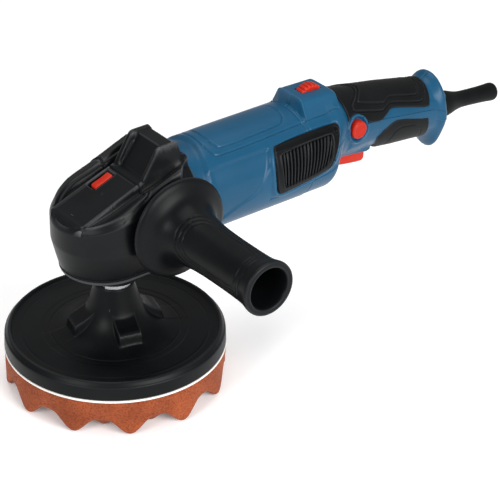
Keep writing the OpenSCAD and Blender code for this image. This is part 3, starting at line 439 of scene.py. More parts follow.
def band_top(x):
    return wall_top(x) + 4.0 + 0.085 * (x + 48.0)


def from_outline(x, y):
    return np.where(x > NOSE_X, NOSE_R - np.abs(y), NOSE_R - np.hypot(x - NOSE_X, y))


def head_top(x, y):
    ay = np.abs(y)
    d = from_outline(x, y)
    inset = band_inset(x)
    band = wall_top(x) + (band_top(x) - wall_top(x)) * np.clip(d / inset, 0, 1)
    wing_sink = 2.6 + 3.0 * step(-40, -6, x) + 1.4 * step(-6, 20, x)
    lip = table([(-47, 0.3), (-40, 0.8), (-30, 2.2), (-10, 3.6), (12, 4.2), (40, 4.2)], x)
    fall_w = table([(-47, 1.6), (-40, 2.2), (-20, 4.0), (0, 5.0), (20, 5.0)], x)
    wing = band + 0.6 * np.exp(-((d - inset - lip * 0.5) / 1.2) ** 2) * step(-44, -34, x) \
        - wing_sink * step(inset + lip, inset + lip + fall_w, d)
    # plateau between two rails, rising to the block at the rear
    rail_y = table([(-40, 20.0), (15, 19.2), (29, 18.6), (46, 18.6)], x)
    rail = table([(-41, 151.8), (15, 172.2), (28.6, 194.2), (30.5, 195.3), (45.5, 195.3), (47, 194),
                  (50.5, 183)], x)
    panel = table([(-41, 151.8), (15, 172.0), (18.6, 172.6), (19.4, 173.0), (33.4, 192.6), (34.6, 194.2),
                   (45.5, 194.2), (47, 193), (50.5, 183)], x)
    share = step(13.4, 15.2, ay)
    flat = panel * (1 - share) + rail * share
    front = np.clip(-41.0 - x, 0, 8)
    flat = flat + 0.9 * np.exp(-((ay - rail_y + 1.3) / 1.2) ** 2) * step(-44, -36, x) - 0.32 * front ** 2
    flat = flat + 0.5 * np.exp(-((x + 39.8) / 1.5) ** 2) * step(20, 18, ay)
    foot = band_top(x) - wing_sink - 0.6
    foot_w = table([(-40, 2.6), (10, 3.8), (22, 6.4), (30, 8.0), (46, 8.4)], x)
    q = np.clip((ay - rail_y) / foot_w, 0, 1.6)
    fall = 1 - np.clip(1 - q, 0, 1) ** 2.7
    plateau = np.where(ay > rail_y, flat - np.maximum(flat - foot, 0) * fall - 6 * np.clip(q - 1, 0, 1), flat)
    z = smax(plateau, wing, 0.8) - 0.2
    collar = AXIS_Z + np.sqrt(np.clip(BARREL_R ** 2 - y ** 2, 9, None))
    edge_x = table([(0, 39), (18, 39.5), (24, 42.8), (30, 44.6), (34, 44.0), (37, 41.0), (40, 38)], ay)
    collar = collar + 0.7 * np.exp(-((x - edge_x - 0.8) / 0.8) ** 2) - 5.0 * np.clip(edge_x - x, 0, None)
    z = smax(z, collar, 0.5) - 0.1
    # seam between the two covers, then along the edge of the wings and round the nose
    nose = [(NOSE_X - (NOSE_R - 1.9) * math.cos(t), (NOSE_R - 1.9) * math.sin(t))
            for t in np.linspace(1.35, 0, 14)]
    seam = rounded([(11, 0), (11, 19), (12.5, 25), (12.0, 31), (8.0, 35.4), (0.0, 36.3), (-6, 37.0)],
                   2).tolist() + nose
    z = z + groove(line_distance(x, ay, seam), 1.1, 1.15)
    # pocket of the spindle lock button
    cut_x = step(-10.9, -10.2, x) * step(8.3, 7.6, x)
    cut_y = step(7.3, 7.9, y) * step(17.6, 17.0, y)
    return z + (POCKET_Z - z) * cut_x * cut_y


def barrel_half(z):
    return np.sqrt(np.clip(BARREL_R ** 2 - (z - AXIS_Z) ** 2, 36.0, None))


# columns of the loft: rear edge, left side, nose, right side, rear edge
side_x = np.arange(HEAD_X1, NOSE_X, -0.7)
nose_t = np.linspace(0, math.pi, 178)
rear_f = np.linspace(0, 1, 28)
columns = (
    [("rear", f, 1) for f in rear_f]
    + [("side", x, 1) for x in side_x[1:]]
    + [("nose", t, 0) for t in nose_t]
    + [("side", x, -1) for x in side_x[:0:-1]]
    + [("rear", f, -1) for f in rear_f[:0:-1]]
)
kind = np.array([c[0] for c in columns])
value = np.array([c[1] for c in columns], float)
sign = np.array([c[2] for c in columns], float)


def ring(radius, z):
    """Outline points for one height; radius is that of the nose at this height."""
    z = np.broadcast_to(np.asarray(z, float), value.shape)
    x = np.where(kind == "rear", HEAD_X1, np.where(kind == "side", value, NOSE_X - radius * np.sin(value)))
    blend = step(30, 51, x)
    lift = blend * 2.6 * (1 - step(102, 112, z))
    zz = z + lift
    half = radius * (1 - blend) + np.minimum(radius, barrel_half(zz)) * blend
    y = np.where(kind == "nose", radius * np.cos(value), sign * half)
    y = np.where(kind == "rear", y * value, y)
    return np.stack([x, y, zz], -1)


base_ring = ring(NOSE_R, 140.0)
hole_angle = np.arctan2(base_ring[:, 1], base_ring[:, 0])
hole = np.stack([31.3 * np.cos(hole_angle), 31.3 * np.sin(hole_angle), np.full(len(hole_angle), 104.3)], -1)
head_rows = [hole + [0, 0, 5.0], hole]
for radius, z in [(32.2, 103.2), (33.2, 102.9), (34.1, 103.3), (34.6, 104.4), (34.5, 105.6), (33.9, 106.1),
                  (33.9, 106.7), (34.6, 107.3)]:
    head_rows.append(ring(radius, z))
for t in np.linspace(0, 1, 22)[1:]:
    head_rows.append(ring(34.6 + 4.9 * t ** 0.9, 107.3 + 19.7 * t))
for radius, z in [(39.75, 128.0), (39.95, 129.2), (NOSE_R, 130.6)]:
    head_rows.append(ring(radius, z))
top_x = ring(NOSE_R, 150.0)[:, 0]
rim_z = wall_top(top_x)
for t in np.linspace(0, 1, 40)[1:]:
    head_rows.append(ring(NOSE_R, 130.6 + (rim_z - 130.6) * t))
rim = head_rows[-1]
spine = np.stack([np.clip(rim[:, 0], NOSE_X, 50.0), np.zeros(len(rim))], -1)
rows_in = 62
for w in np.linspace(0, 1, rows_in + 1)[1:]:
    xy = rim[:, :2] * (1 - w) + spine * w
    head_rows.append(np.stack([xy[:, 0], xy[:, 1], head_top(xy[:, 0], xy[:, 1])], -1))
head_grid = np.array(head_rows)


def dent_round(grid, x, z, radius, depth, side):
    """Sinks a round hole in a side wall of the head."""
    far_side = np.sign(grid[..., 1]) == side
    d = np.hypot(grid[..., 0] - x, grid[..., 2] - z)
    on_wall = far_side & (np.abs(grid[..., 1]) > 25) & (d < radius + 3)
    grid[..., 1] = np.where(on_wall, grid[..., 1] - side * depth * step(radius + 0.45, radius - 0.45, d),
                            grid[..., 1])


dent_round(head_grid, 26.0, AXIS_Z, 5.6, 3.0, 1)
middle = np.stack([np.clip(head_grid[..., 0], -8, 48), np.zeros(head_grid.shape[:2]),
                   np.full(head_grid.shape[:2], 142.0)], -1)
head_inner = middle + (head_grid - middle) * 0.90
head_inner[0] = head_grid[0] + [0, 0, 1.5]
head_inner[1] = head_grid[1] * [0.99, 0.99, 1] + [0, 0, 3.5]
skin("gear_head_shell", head_grid, head_inner, black_cast, "body", wrap_cols=True, cap_last=False,
     replaces=("gear_housing", "front_cover", "rear_cover"), slot="black_metal", sharp=38)


FLANGE_Z = 90.0
SCREW_AT = 25.5 * math.sqrt(0.5)
flange_line = rounded([(17.4, 3.2), (12.9, 3.2), (12.9, 0.3), (13.6, 0.0), (19.0, 0.0), (20.4, 0.5),
                       (21.0, 1.8), (21.0, 9.4), (21.6, 11.2), (23.4, 12.8), (26.0, 13.5), (30.2, 14.0),
                       (30.9, 14.3), (31.0, 15.0), (31.0, 17.9), (17.5, 17.9), (17.5, 10.0)], 1, True)


def flange_shape(r, h, a):
    # sunk seats for the four countersunk screws
    seat = np.hypot(r * np.cos(a) - SCREW_AT * np.sign(np.cos(a)),
                    r * np.sin(a) - SCREW_AT * np.sign(np.sin(a)))
    return r, h + 2.6 * step(3.9, 3.4, seat) * (h > 12) * (h < 15)


turned("bearing_flange_turned", spaced(np.vstack([flange_line, flange_line[:1]]), 0.55)[:-1],
       lambda p: p + [0, 0, FLANGE_Z], black_cast, "body", 320, flange_shape, replaces=("bearing_flange",),
       slot="black_metal", sharp=40)


def along_y(x, z, y, direction):
    def place(p):
        return np.stack([x + p[:, 0], y + direction * p[:, 2], z + p[:, 1]], -1)
    return place


turned("handle_socket_ring", rounded([(4.0, -9.0), (5.5, -9.0), (5.5, -0.2), (4.9, 0.25), (4.3, 0.25),
                                      (4.0, -0.3)], 1, True), along_y(26.0, AXIS_Z, 37.4, 1), steel, "body",
       64, slot="steel", sharp=40)

# red lock button: a dished slope in its pocket
button_line = [(-8.6, 160.9), (6.6, 160.9), (6.9, 168.6), (5.6, 169.3), (-1.0, 166.4), (-7.4, 164.4),
               (-8.8, 163.2)]
block("lock_button_red", button_line, 8.3, 14.7, red, "spindle_lock", 1.1, 4, replaces=("lock_button",),
      slot="red_plastic")

# ---------------------------------------------------------------- motor housing
SEAM_X = 163.0
HOUSING_R = 38.5
SLOT_PITCH, SLOT_W, SLOT_DEPTH = 6, 3, 1.6
RAD = math.pi / 180
vent_line = rounded([(131, 46.2), (189, 44.6), (193.0, 50), (190.5, 61), (185, 77), (180.5, 89), (174, 96),
                     (162, 100.8), (147, 104.4), (131, 107.6), (126.4, 102.5), (125.0, 90), (125.0, 75),
                     (126.6, 60)], 2, True)
contour = rounded([(74.8, 0), (75.0, 14), (76.4, 28), (79.4, 36.4), (86, 37.0), (115, 36.4), (158.6, 33.6),
                   (181, 32.6), (197, 33.6), (203.4, 42), (205.2, 57), (203.0, 68), (197.5, 88),
                   (184.0, 104.5), (168, 108.5), (140, 113.0), (122, 113)], 2)
plate = rounded([(153.5, 0), (152.5, 15), (149.5, 21), (145, 26.0), (107, 28.2), (88, 28.4), (83.8, 25),
                 (82.0, 16), (81.8, 0)], 2)
badge = rounded([(67, 47.5), (122.5, 47.4), (125.4, 50.0), (121.5, 65), (115, 82), (110, 93), (102.8, 99.4),
                 (87.5, 106.5), (73, 123), (66, 123), (61, 100), (60, 80), (63, 60)], 2, True)


def arc_points(points, radius=HOUSING_R):
    return np.c_[np.array(points)[:, 0], np.array(points)[:, 1] * RAD * radius]


def side_relief(x, angle):
    """Grooves, the sunk side panel and the rim round the vents; angle is degrees from the top."""
    s = angle * RAD * HOUSING_R
    change = groove(line_distance(x, s, arc_points(contour)), 0.95, 1.25)
    change = change + groove(line_distance(x, s, arc_points(plate)), 0.9, 1.2)
    inner_plate = region_distance(x, s, np.vstack([arc_points(plate), [[81.8, -2], [153.5, -2]][::-1]]))
    change = change + 0.45 * step(0.9, -0.9, inner_plate)
    near = region_distance(x, s, arc_points(badge))
    crease = step(46.0, 50.0, angle) * 0.6 + 0.4
    change = change - 1.3 * crease * step(1.0, -2.2, near) * step(62.0, 72.0, x)
    vent = region_distance(x, s, arc_points(vent_line))
    rim = (0.4 + 1.5 * step(43, 62, angle)) * np.exp(-((vent - 2.2) / 2.3) ** 2) * step(200, 180, x)
    change = change + np.where(vent > 0.3, rim, -1.0 * step(0.3, -0.7, vent))
    return change


def cooling_slots(x, angle, first, last, middle, reach):
    """Depth of a row of upright slots from first to last along x, about the angle middle."""
    cut = (np.mod(x - first - 0.5, SLOT_PITCH) < SLOT_W) & (np.abs(angle - middle) < reach)
    return SLOT_DEPTH * (cut & (x > first) & (x < last))


def motor_radius(x, angle):
    edge = 71.0 - 0.11 * np.clip(angle - 10, 0, 60)
    r = 36.0 + 2.5 * step(edge - 3.4, edge + 2.4, x)
    r = r + side_relief(x, angle) * step(54, 60, x)
    r = r - 0.5 * step(1.0, 0.0, x - HEAD_X1) - 0.75 * step(1.1, 0.0, SEAM_X - x)
    return r - cooling_slots(x, angle, 131, 161, 78, 17)


def polar(x, r, angle, side, centre=AXIS_Z):
    a = angle * RAD
    return np.stack([x, side * r * np.sin(a), centre + r * np.cos(a)], -1)


xs = np.r_[54.0, 54.4, np.arange(55.0, 162.4, 0.72), 162.6, 163.0]
turn = np.linspace(0, 360, 481)[:-1]
gx, gt = np.meshgrid(xs, turn, indexing="ij")
folded = np.where(gt > 180, 360 - gt, gt)
outer_r = motor_radius(gx, folded)
outer = polar(gx, outer_r, gt, 1.0)
inner = polar(gx, np.minimum(outer_r - 1.6, np.where(gx < 79, 33.4, 35.9)), gt, 1.0)
skin("motor_housing_shell", outer, inner, blue, "body", wrap_cols=True, replaces=("motor_housing",),
     slot="blue_plastic", sharp=40)

# ---------------------------------------------------------------- vent covers
SLATS = 19
VENT_ROWS, VENT_COLUMNS = 90, 150
vent_top = resample(rounded([(129.5, 47.2), (140, 46.4), (180, 45.4), (191.0, 46.6)], 2), VENT_COLUMNS)
vent_right_edge = resample(rounded([(191.0, 46.6), (192.6, 50), (190.4, 61), (185, 77), (181, 88),
                                    (177.5, 94.5)], 2), VENT_ROWS)
vent_low = resample(rounded([(129.8, 106.9), (140, 105.4), (150, 103.6), (163, 100.4), (172, 97.2),
                             (177.5, 94.5)], 2), VENT_COLUMNS)
vent_left_edge = resample(rounded([(129.5, 47.2), (127.4, 52), (125.6, 62), (125.0, 78), (125.2, 92),
                                   (127.0, 103.6), (129.8, 106.9)], 2), VENT_ROWS)
window = rounded([(133.4, 58.6), (181.6, 56.6), (182.6, 60), (180.6, 72), (176.4, 88), (170, 93),
                  (157.6, 96.6), (134.5, 100.0), (131.4, 97), (130.6, 80), (131.6, 62)], 2, True)
u = np.linspace(0, 1, VENT_COLUMNS)[None, :, None]
v = np.linspace(0, 1, VENT_ROWS)[:, None, None]
vent_map = (1 - v) * vent_top[None] + v * vent_low[None] + (1 - u) * vent_left_edge[:, None] \
    + u * vent_right_edge[:, None] - ((1 - u) * (1 - v) * vent_top[0] + u * (1 - v) * vent_top[-1]
                                      + (1 - u) * v * vent_low[0] + u * v * vent_low[-1])
vent_x, vent_a = vent_map[..., 0], vent_map[..., 1]
VENT_R = 41.2
vent_s = vent_a * RAD * VENT_R
win = -region_distance(vent_x, vent_s, arc_points(window, VENT_R))
wave = np.abs(np.mod(u[..., 0] * SLATS + 0.5, 1) - 0.5) * 2
slat = 1.9 * step(0.30, 0.72, wave)
vent_r = VENT_R - 2.3 * step(60, 46, vent_a) + 0.9 * np.sqrt(np.clip(1 - ((vent_a - 52.6) / 4.6) ** 2, 0, 1))
vent_r = vent_r - (0.9 + 1.9 - slat) * step(-0.1, 0.9, win)
vent_r = vent_r + 0.35 * np.exp(-((win + 0.9) / 0.6) ** 2)
notch = np.hypot((vent_x - 187.6) / 2.0, (vent_a - 55.0) * 0.72 / 3.4)
vent_r = vent_r - 1.7 * step(1.15, 0.75, notch)
row, column = np.arange(VENT_ROWS)[:, None], np.arange(VENT_COLUMNS)[None]
border = np.minimum(np.minimum(row, VENT_ROWS - 1 - row), np.minimum(column, VENT_COLUMNS - 1 - column))
ROUNDING = np.array([1.5, 0.55, 0.12, 0.0])  # drop of the outermost rows, and none further in
vent_r = vent_r - ROUNDING[np.minimum(border, 3)]
for side, body, node, label in ((-1, "vent_right", "vent_cover_right", "vent_cover_slats_right"),
                                (1, "vent_left", "vent_cover_left", "vent_cover_slats_left")):
    skin(label, polar(vent_x, vent_r, vent_a, side),
         polar(vent_x, np.minimum(vent_r - 0.5, 38.0), vent_a, side),
         black, body, replaces=(node,), slot="black_plastic", sharp=40)

# ---------------------------------------------------------------- rear housing
TAIL_Z = 134.0
GUARD_END, GUARD_INNER_END = 329.0, 326.6
CORD_HOLE_R = 6.6
BUTTON_X, BUTTON_Z = 216.0, 156.0


def grip_centre(x):
    return table([(163, 144), (188, 144), (207, 152), (240, 149), (314, 137), (330, 134.4)], x)


def grip_radius(x, angle, grow=0.0):
    x = x + 9.0 * step(52, 100, angle) * step(176, 194, x) * step(222, 206, x)
    h = table([(163, 38.5), (190, 38.5), (196, 37.6), (201, 35.0), (205, 31.5), (208, 29.2), (214, 28.2),
               (226, 26.6), (240, 25), (262, 24.6), (290, 23.2), (314, 22)], x) + grow
    w = table([(163, 38.5), (190, 38.5), (196, 37.6), (201, 35.0), (205, 31.0), (208, 28.6), (216, 27.0),
               (228, 25.4), (240, 24), (262, 23.6), (290, 22.2), (314, 21)], x) + grow
    a = angle * RAD
    return 1 / np.sqrt((np.sin(a) / w) ** 2 + (np.cos(a) / h) ** 2)


def rear_radius(x, angle):
    centre = grip_centre(x)
    r = grip_radius(x, angle)
    # speed wheel hump
    top = table([(166, 192.2), (199, 190.6), (201.5, 189.4), (208.5, 176.0), (215, 168)], x)
    dy, dz = np.sin(angle * RAD), np.cos(angle * RAD)
    flat = np.where(dz > 0.05, (top - centre) / np.maximum(dz, 0.05), 1e3)
    slope_n = np.array([18.0, 8.0]) / math.hypot(18.0, 8.0)
    flank_reach = slope_n[0] * 14.4 + slope_n[1] * (191.4 - centre)
    facing = slope_n[0] * dy + slope_n[1] * dz
    flank = np.where(facing > 0.05, flank_reach / np.maximum(facing, 0.05), 1e3)
    hump = smin(flat, flank, 2.4)
    hump = hump - 22 * step(167.6, 164.9, x) - 25 * step(200, 214.5, x)
    hump = np.where(angle < 75, hump, 0)
    edge_line = 0.35 * np.exp(-((x - 168.2) / 0.9) ** 2)
    r = np.where(angle < 75, smax(r, hump + edge_line, 3.4) - 0.85, r)
    # hood over the trigger
    floor_z = table([(194, 136), (201, 131.5), (206, 129.6), (236, 124.4), (240, 125.5), (250, 139)], x)
    drop = np.where(dz < -0.05, (centre - floor_z) / np.maximum(-dz, 0.05), 1e3)
    sides = np.where(dy > 0.02, 15.4 / np.maximum(dy, 0.02), 1e3)
    hood = smin(drop, sides, 1.4) - 30 * step(203, 196, x) - 40 * step(239, 250, x)
    r = np.where(angle > 95, smax(r, hood, 2.2) - 0.5, r)
    # ring round the lock-on button
    ring_d = np.hypot(x - BUTTON_X, (r * dz + centre) - BUTTON_Z)
    ring_on = (angle < 115) * (angle > 35)
    r = r + ring_on * (1.8 * np.exp(-((ring_d - 10.2) / 1.4) ** 2) - 1.2 * step(9.2, 8.2, ring_d))
    # blue strip stands level with the soft covers
    strip = step(208, 212, x) * step(308, 300, x)
    r = r + 0.9 * strip * (angle > 50) * step(50, 60, angle) * step(130, 112, angle)
    return r


def guard_part(x, r, angle):
    flare = table([(288, 0), (296, 0.5), (301, 1.7), (304.5, 3.8), (307.5, 7.0), (310, 10.4), (311.8, 12.1),
                   (313.6, 12.7), (329, 12.7)], x)
    close = table([(313, 1.0), (314.6, 0.97), (316, 0.91), (318, 0.80), (320, 0.69), (322, 0.59), (324, 0.49),
                   (326, 0.41), (329, 0.34)], x)
    a = angle * RAD
    wide = 25.4 - 4.0 * step(85, 150, angle)
    oval = 1 / np.sqrt((np.sin(a) / wide) ** 2 + (np.cos(a) / 35.0) ** 2) - 22.4
    return (r + flare * oval / 12.6) * close


rear_x = np.r_[163.0, 163.4, np.arange(164.0, 296.0, 0.72), np.arange(296.0, GUARD_END, 0.55), GUARD_END]
rear_a = np.r_[0.0, 0.4, 0.8, np.linspace(1.5, 178.5, 222), 179.2, 179.6, 180.0]
gx, ga = np.meshgrid(rear_x, rear_a, indexing="ij")


def half_shell(side):
    r = rear_radius(gx, ga)
    r = guard_part(gx, r, ga)
    r = r + side_relief(gx, ga) * step(207, 202, gx)
    r = r - 0.75 * step(1.1, 0.0, gx - SEAM_X)
    y_abs = r * np.sin(ga * RAD)
    r = r - 0.45 * step(0.75, 0.1, y_abs)
    # well of the speed wheel, cut in the hump's top
    well = step(5.2, 4.7, y_abs) * step(175.6, 176.2, gx) * step(195.8, 195.2, gx) * (ga < 40)
    r = r - 5.0 * well
    r = r - cooling_slots(gx, ga, 167, 182, 74, 14)
    # mouth of the trigger, open underneath
    dz = np.minimum(np.cos(ga * RAD), -0.05)
    mouth = (step(12.5, 11.9, r * np.sin(ga * RAD)) * step(204.8, 205.4, gx)
             * step(239.0, 238.4, gx) * (ga > 110))
    roof = (134.5 - grip_centre(gx)) / dz
    r = r - np.clip(r - roof, 0, None) * mouth
    to_tail = step(300, 316, gx)
    centre = grip_centre(gx) * (1 - to_tail) + TAIL_Z * to_tail
    outer = polar(gx, r, ga, side, centre)
    inner = polar(gx, np.where(gx > 304, np.minimum(r - 2.0, 19.0), r - 2.2), ga, side, centre)
    cap_r = np.linspace(1, 0, 14)[1:, None]
    last = r[-1][None]
    rows_r = CORD_HOLE_R + (last - CORD_HOLE_R) * cap_r
    cap_a = np.repeat(rear_a[None], len(cap_r), 0)
    cap = polar(np.full(rows_r.shape, GUARD_END), rows_r, cap_a, side, TAIL_Z)
    back_r = CORD_HOLE_R - 1.2 + (rows_r - CORD_HOLE_R) * 0.6
    back = polar(np.full(rows_r.shape, GUARD_INNER_END), back_r, cap_a, side, TAIL_Z)
    inner[-1, :, 0] = GUARD_INNER_END
    return np.concatenate([outer, cap]), np.concatenate([inner, back])


for side, node, label in ((-1, "rear_housing_right", "rear_shell_right"),
                          (1, "rear_housing_left", "rear_shell_left")):
    outer, inner = half_shell(side)
    skin(label, outer, inner, blue, "body", replaces=(node,), slot="blue_plastic", sharp=42)

# ---------------------------------------------------------------- soft covers
SOFT_T = 1.9
SOFT_TOP_X0, SOFT_TOP_X1, SOFT_TOP_R = 206.8, 302.6, 24.5
SOFT_LOW_X0, SOFT_LOW_X1, SOFT_LOW_R = 238.6, 299.0, 24.0
cover_edge = [(206.5, 62.5), (209, 59.6), (212, 56.4), (216, 55.0), (220, 57.8), (224, 66.5), (228.5, 73.0),
              (233, 76.5), (240.5, 77.6), (244, 75.0), (249, 67.0), (254, 58.6), (257.5, 56.6), (262, 57.2),
              (280, 62.5), (291, 66.0), (298, 66.0), (313, 64.0)]
line_one = rounded([(231, 0), (229, 14), (221.5, 28), (215.6, 37), (213.6, 46), (216.0, 50.4), (226, 53),
                    (244, 59.6), (247.5, 57), (254.5, 47.6), (258, 46.8), (287, 54.4), (291, 52.0),
                    (293.5, 45), (299, 18), (300, 0)], 2)
line_two = rounded([(235, 0), (232.5, 12), (225, 28), (221.6, 35.5), (224.0, 38.6), (247.0, 46.4),
                    (250.5, 45.0), (256.0, 36.8), (260, 35.8), (284.5, 40.4), (287.4, 38.4), (289.6, 31),
                    (294, 10), (294.6, 0)], 2)


def soft_top():
    x_line = np.r_[np.arange(SOFT_TOP_X0, SOFT_TOP_X1, 0.62), SOFT_TOP_X1]
    share = np.r_[-1.0, -0.985, np.linspace(-0.965, 0.965, 151), 0.985, 1.0]
    x, f = np.meshgrid(x_line, share, indexing="ij")
    limit = table(cover_edge, x)
    x = x - 6.0 * step(287, SOFT_TOP_X1, x) * np.abs(f) ** 2
    angle = f * limit
    mag = np.abs(angle)
    radius = grip_radius(x, mag)
    s = mag * RAD * SOFT_TOP_R
    one = np.c_[line_one[:, 0], line_one[:, 1] * RAD * SOFT_TOP_R]
    two = np.c_[line_two[:, 0], line_two[:, 1] * RAD * SOFT_TOP_R]
    in_one = region_distance(x, s, np.vstack([one, [[300, -3], [231, -3]]]))
    in_two = region_distance(x, s, np.vstack([two, [[294.6, -3], [235, -3]]]))
    rise = 0.5 * step(0.8, -0.8, in_one) + 0.6 * step(0.8, -0.8, in_two)
    rise = rise + groove(line_distance(x, s, one), 0.95, 1.15) + groove(line_distance(x, s, two), 0.95, 1.15)
    to_side = (1 - np.abs(f)) * limit * RAD * SOFT_TOP_R
    to_end = np.minimum(x_line - SOFT_TOP_X0, SOFT_TOP_X1 - x_line)[:, None]
    e = np.clip(np.minimum(to_side, to_end) / 1.8, 0, 1)
    thick = SOFT_T * np.sqrt(1 - (1 - e) ** 2)
    centre = grip_centre(x)
    flare = guard_part(x, radius, mag) - radius
    outer = polar(x, radius + np.maximum(thick + rise * e, 0.3) + flare * 0.95, angle, 1, centre)
    inner = polar(x, radius - 0.9 + flare * 0.5, angle, 1, centre)
    return outer, inner


def soft_bottom():
    x_line = np.r_[np.arange(SOFT_LOW_X0, SOFT_LOW_X1, 0.7), SOFT_LOW_X1]
    share = np.r_[-1.0, -0.985, np.linspace(-0.965, 0.965, 111), 0.985, 1.0]
    x, f = np.meshgrid(x_line, share, indexing="ij")
    limit = table([(SOFT_LOW_X0, 66), (242, 74), (247, 87), (252, 94.5), (256, 98.5), (260, 100.5),
                   (268, 99.5), (287, 92.5), (300, 91), (313, 91)], x)
    x = (x + 9.0 * (1 - np.abs(f) ** 2) * step(262, SOFT_LOW_X0, x)
         - 4.5 * step(285, SOFT_LOW_X1, x) * np.abs(f) ** 2)
    angle = 180 - f * limit
    mag = np.where(angle > 180, 360 - angle, angle)
    radius = grip_radius(x, mag)
    s = (180 - mag) * RAD * SOFT_LOW_R
    dashes = groove(
        line_distance(x, s, rounded([(256, 0), (252, 14), (256, 33), (266, 36), (288, 33), (293, 0)], 2)),
        0.5, 0.9)
    to_side = (1 - np.abs(f)) * limit * RAD * SOFT_LOW_R
    to_end = np.minimum(x_line - SOFT_LOW_X0, SOFT_LOW_X1 - x_line)[:, None]
    e = np.clip(np.minimum(to_side, to_end) / 1.8, 0, 1)
    thick = SOFT_T * np.sqrt(1 - (1 - e) ** 2)
    centre = grip_centre(x)
    flare = guard_part(x, radius, mag) - radius
    outer = polar(x, radius + np.maximum(thick + dashes * e, 0.3) + flare * 0.95, angle, 1, centre)
    inner = polar(x, radius - 0.9 + flare * 0.5, angle, 1, centre)
    return outer, inner


outer, inner = soft_top()
skin("soft_cover_upper", outer, inner, rubber, "body", replaces=("soft_cover_top",), slot="soft_rubber",
     sharp=42)
outer, inner = soft_bottom()
skin("soft_cover_lower", outer, inner, rubber, "body", replaces=("soft_cover_bottom",), slot="soft_rubber",
     sharp=42)

# ---------------------------------------------------------------- controls
DIAL_X, DIAL_Z = 186.0, 181.6
DIAL_TEETH = 22


def dial_shape(r, h, a):
    teeth = step(0.25, 0.55, np.abs(np.mod(a * DIAL_TEETH / (2 * math.pi), 1) - 0.5) * 2)
    outer_part = step(10.5, 12.0, r)
    return r - 0.9 * (1 - teeth) * outer_part, h


dial_line = [(2.1, -4.5), (6.0, -4.5), (10.6, -4.5), (12.2, -4.3), (12.8, -3.7), (13.0, -3.0), (13.0, -1.0),
             (13.0, 1.0), (13.0, 3.0), (12.8, 3.7), (12.2, 4.3), (10.6, 4.5), (6.0, 4.5), (2.1, 4.5)]
turned("speed_dial_wheel", dial_line, along_y(DIAL_X, DIAL_Z, 0.0, 1), red, "dial", 352, dial_shape,
       replaces=("speed_dial",), slot="red_plastic", sharp=50)

button_profile = rounded([(0.0, 29.2), (3.2, 29.15), (4.4, 29.0), (5.0, 29.3), (5.8, 29.5), (6.6, 29.3),
                          (7.3, 28.5), (7.5, 27.2), (7.5, 17.2), (3.0, 17.0), (3.0, 14.9), (0.0, 14.9)], 1)
turned("lock_on_cap", spaced(button_profile, 0.5), along_y(BUTTON_X, BUTTON_Z, 0.0, -1), red, "lock_on", 96,
       loop_profile=False, replaces=("lock_on_button",), slot="red_plastic", sharp=40)

trigger_line = [(206.4, 121.6), (208.0, 119.8), (213.0, 118.2), (222.0, 116.7), (230.0, 115.6),
                (234.8, 115.2), (237.0, 117.4), (237.2, 122.0), (236.4, 126.6), (230.0, 128.8),
                (222.0, 131.4), (214.0, 133.2), (207.0, 133.2)]
block("trigger_paddle", trigger_line, -11.3, 11.3, red, "trigger", 1.5, 4, replaces=("trigger",),
      slot="red_plastic")

# ---------------------------------------------------------------- cord guard
TILT = math.radians(5.7)


def guard_place(p):
    direction = np.array([math.cos(TILT), 0.0, -math.sin(TILT)])
    upward = np.array([math.sin(TILT), 0.0, math.cos(TILT)])
    return np.array([318.0, 0, TAIL_Z]) + p[:, 2:3] * direction + p[:, 1:2] * [0, 1, 0] + p[:, 0:1] * upward


guard_line = rounded([(4.25, 69.4), (4.25, -10.0), (11.8, -10.0), (11.8, -0.4), (11.4, 0.0), (11.2, 11.5),
                      (10.6, 15.5), (9.3, 20.0), (8.0, 24.5), (7.0, 30.0), (6.8, 36.0), (6.9, 50.0),
                      (7.2, 60.0), (7.7, 66.0), (7.5, 69.0), (6.2, 70.0)], 1, True)
turned("cord_guard_sleeve", spaced(np.vstack([guard_line, guard_line[:1]]), 0.9)[:-1], guard_place, rubber,
       "body", 96, replaces=("cord_guard",), slot="soft_rubber", sharp=40)

# ---------------------------------------------------------------- side handle
HANDLE_X, HANDLE_Y0 = 26.0, -40.0
disc = rounded([(13.0, 0.2), (13.6, 8.6), (30.0, 8.2), (37.0, 7.2), (39.2, 7.0), (40.0, 8.4), (39.4, 10.2),
                (37.2, 11.8), (33.0, 13.6), (28.6, 16.2), (25.2, 20.0), (23.0, 25.0), (21.6, 30.5),
                (20.6, 37.0), (19.6, 46.0), (19.0, 60.0), (18.9, 80.0), (19.1, 98.0), (19.8, 106.0),
                (21.2, 111.4), (21.6, 113.6), (21.2, 115.6), (20.0, 116.2), (17.4, 116.2), (16.4, 115.4),
                (15.7, 112.0), (15.5, 60.0), (15.0, 44.0), (12.0, 37.0), (6.0, 36.0), (4.1, 36.0),
                (4.1, 20.0), (4.1, 1.0), (5.0, 0.2)], 2, True)
handle_rows = spaced(np.vstack([disc, disc[:1]]), 0.8)[:-1]


def handle_shape(r, h, a):
    face = a - 135 * RAD
    two = (face + math.pi / 2) % math.pi - math.pi / 2
    s = np.abs(two) * 19.5
    on_grip = (r > 17.5) & (h > 22) & (h < 113)
    change = 0
    for k in range(3):
        start, half, end = 31.0 + 3.6 * k, 25.0 - 3.4 * k, 104.0 - 2.6 * k
        nest = rounded([(end, 0), (end, half * 0.8), (end - 5, half), (start + 14, half),
                        (start + 5, half * 0.86), (start, half * 0.5), (start - 1.2, 0)], 2)
        change = change + groove(line_distance(h, s, nest), 0.5, 0.85)
    return r + np.where(on_grip, change, 0), h


turned("side_handle_grip", handle_rows, along_y(HANDLE_X, AXIS_Z, HANDLE_Y0, -1), black, "body", 240,
       handle_shape, replaces=("side_handle",), slot="black_plastic", sharp=38)

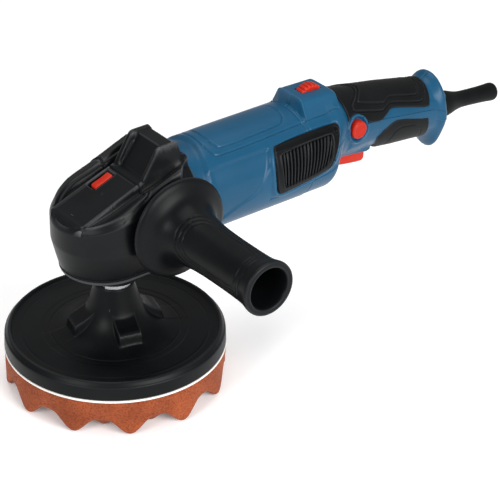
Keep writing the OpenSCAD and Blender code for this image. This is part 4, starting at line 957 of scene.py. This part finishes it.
# ---------------------------------------------------------------- floor, light and camera
floor_mesh = bpy.data.meshes.new("floor")
floor_mesh.from_pydata([(-4, -4, 0), (4, -4, 0), (4, 4, 0), (-4, 4, 0)], [], [(0, 1, 2, 3)])
floor = bpy.data.objects.new("floor", floor_mesh)
bpy.context.scene.collection.objects.link(floor)
floor.location = (0, 0, -0.0002)
pale = bpy.data.materials.new("pale_floor")
pale.use_nodes = True
pale.node_tree.nodes["Principled BSDF"].inputs["Base Color"].default_value = (0.97, 0.97, 0.97, 1)
pale.node_tree.nodes["Principled BSDF"].inputs["Roughness"].default_value = 0.6
pale.node_tree.nodes["Principled BSDF"].inputs["Emission Color"].default_value = (1, 1, 1, 1)
pale.node_tree.nodes["Principled BSDF"].inputs["Emission Strength"].default_value = 0.12
floor_mesh.materials.append(pale)

world = bpy.data.worlds.new("studio")
world.use_nodes = True
world.node_tree.nodes["Background"].inputs["Color"].default_value = (1.0, 1.0, 1.0, 1)
world.node_tree.nodes["Background"].inputs["Strength"].default_value = 0.42
bpy.context.scene.world = world
bpy.context.scene.view_settings.view_transform = "Standard"

TARGET = Vector((0.1306, 0.0, 0.0636))


def soft_light(name, where, size, power, at=TARGET):
    data = bpy.data.lights.new(name, "AREA")
    data.shape = "RECTANGLE"
    data.size, data.size_y = size
    data.energy = power
    obj = bpy.data.objects.new(name, data)
    obj.location = where
    obj.rotation_euler = (at - Vector(where)).to_track_quat("-Z", "Y").to_euler()
    bpy.context.scene.collection.objects.link(obj)


soft_light("key", (0.15, -1.55, 0.85), (1.1, 0.7), 30)
soft_light("left", (-1.3, -0.35, 0.85), (0.6, 0.5), 10)
soft_light("top", (0.2, 0.25, 1.5), (1.2, 0.8), 9)

AZ, EL, ROLL, AWAY = math.radians(-38.2), math.radians(31.0), math.radians(0.7), 1.747
right = Vector((math.cos(AZ), math.sin(AZ), 0))
upward = Vector((-math.sin(AZ) * math.sin(EL), math.cos(AZ) * math.sin(EL), math.cos(EL)))
look = Vector((-math.sin(AZ) * math.cos(EL), math.cos(AZ) * math.cos(EL), -math.sin(EL)))
tilt_cos, tilt_sin = math.cos(ROLL), math.sin(ROLL)
right, upward = right * tilt_cos + upward * tilt_sin, upward * tilt_cos - right * tilt_sin
camera_data = bpy.data.cameras.new("camera")
camera_data.lens = 158.47
camera_data.sensor_width = 36.0
camera = bpy.data.objects.new("camera", camera_data)
place = Matrix((right, upward, -look)).transposed().to_4x4()
place.translation = TARGET - look * AWAY
camera.matrix_world = place
bpy.context.scene.collection.objects.link(camera)
bpy.context.scene.camera = camera
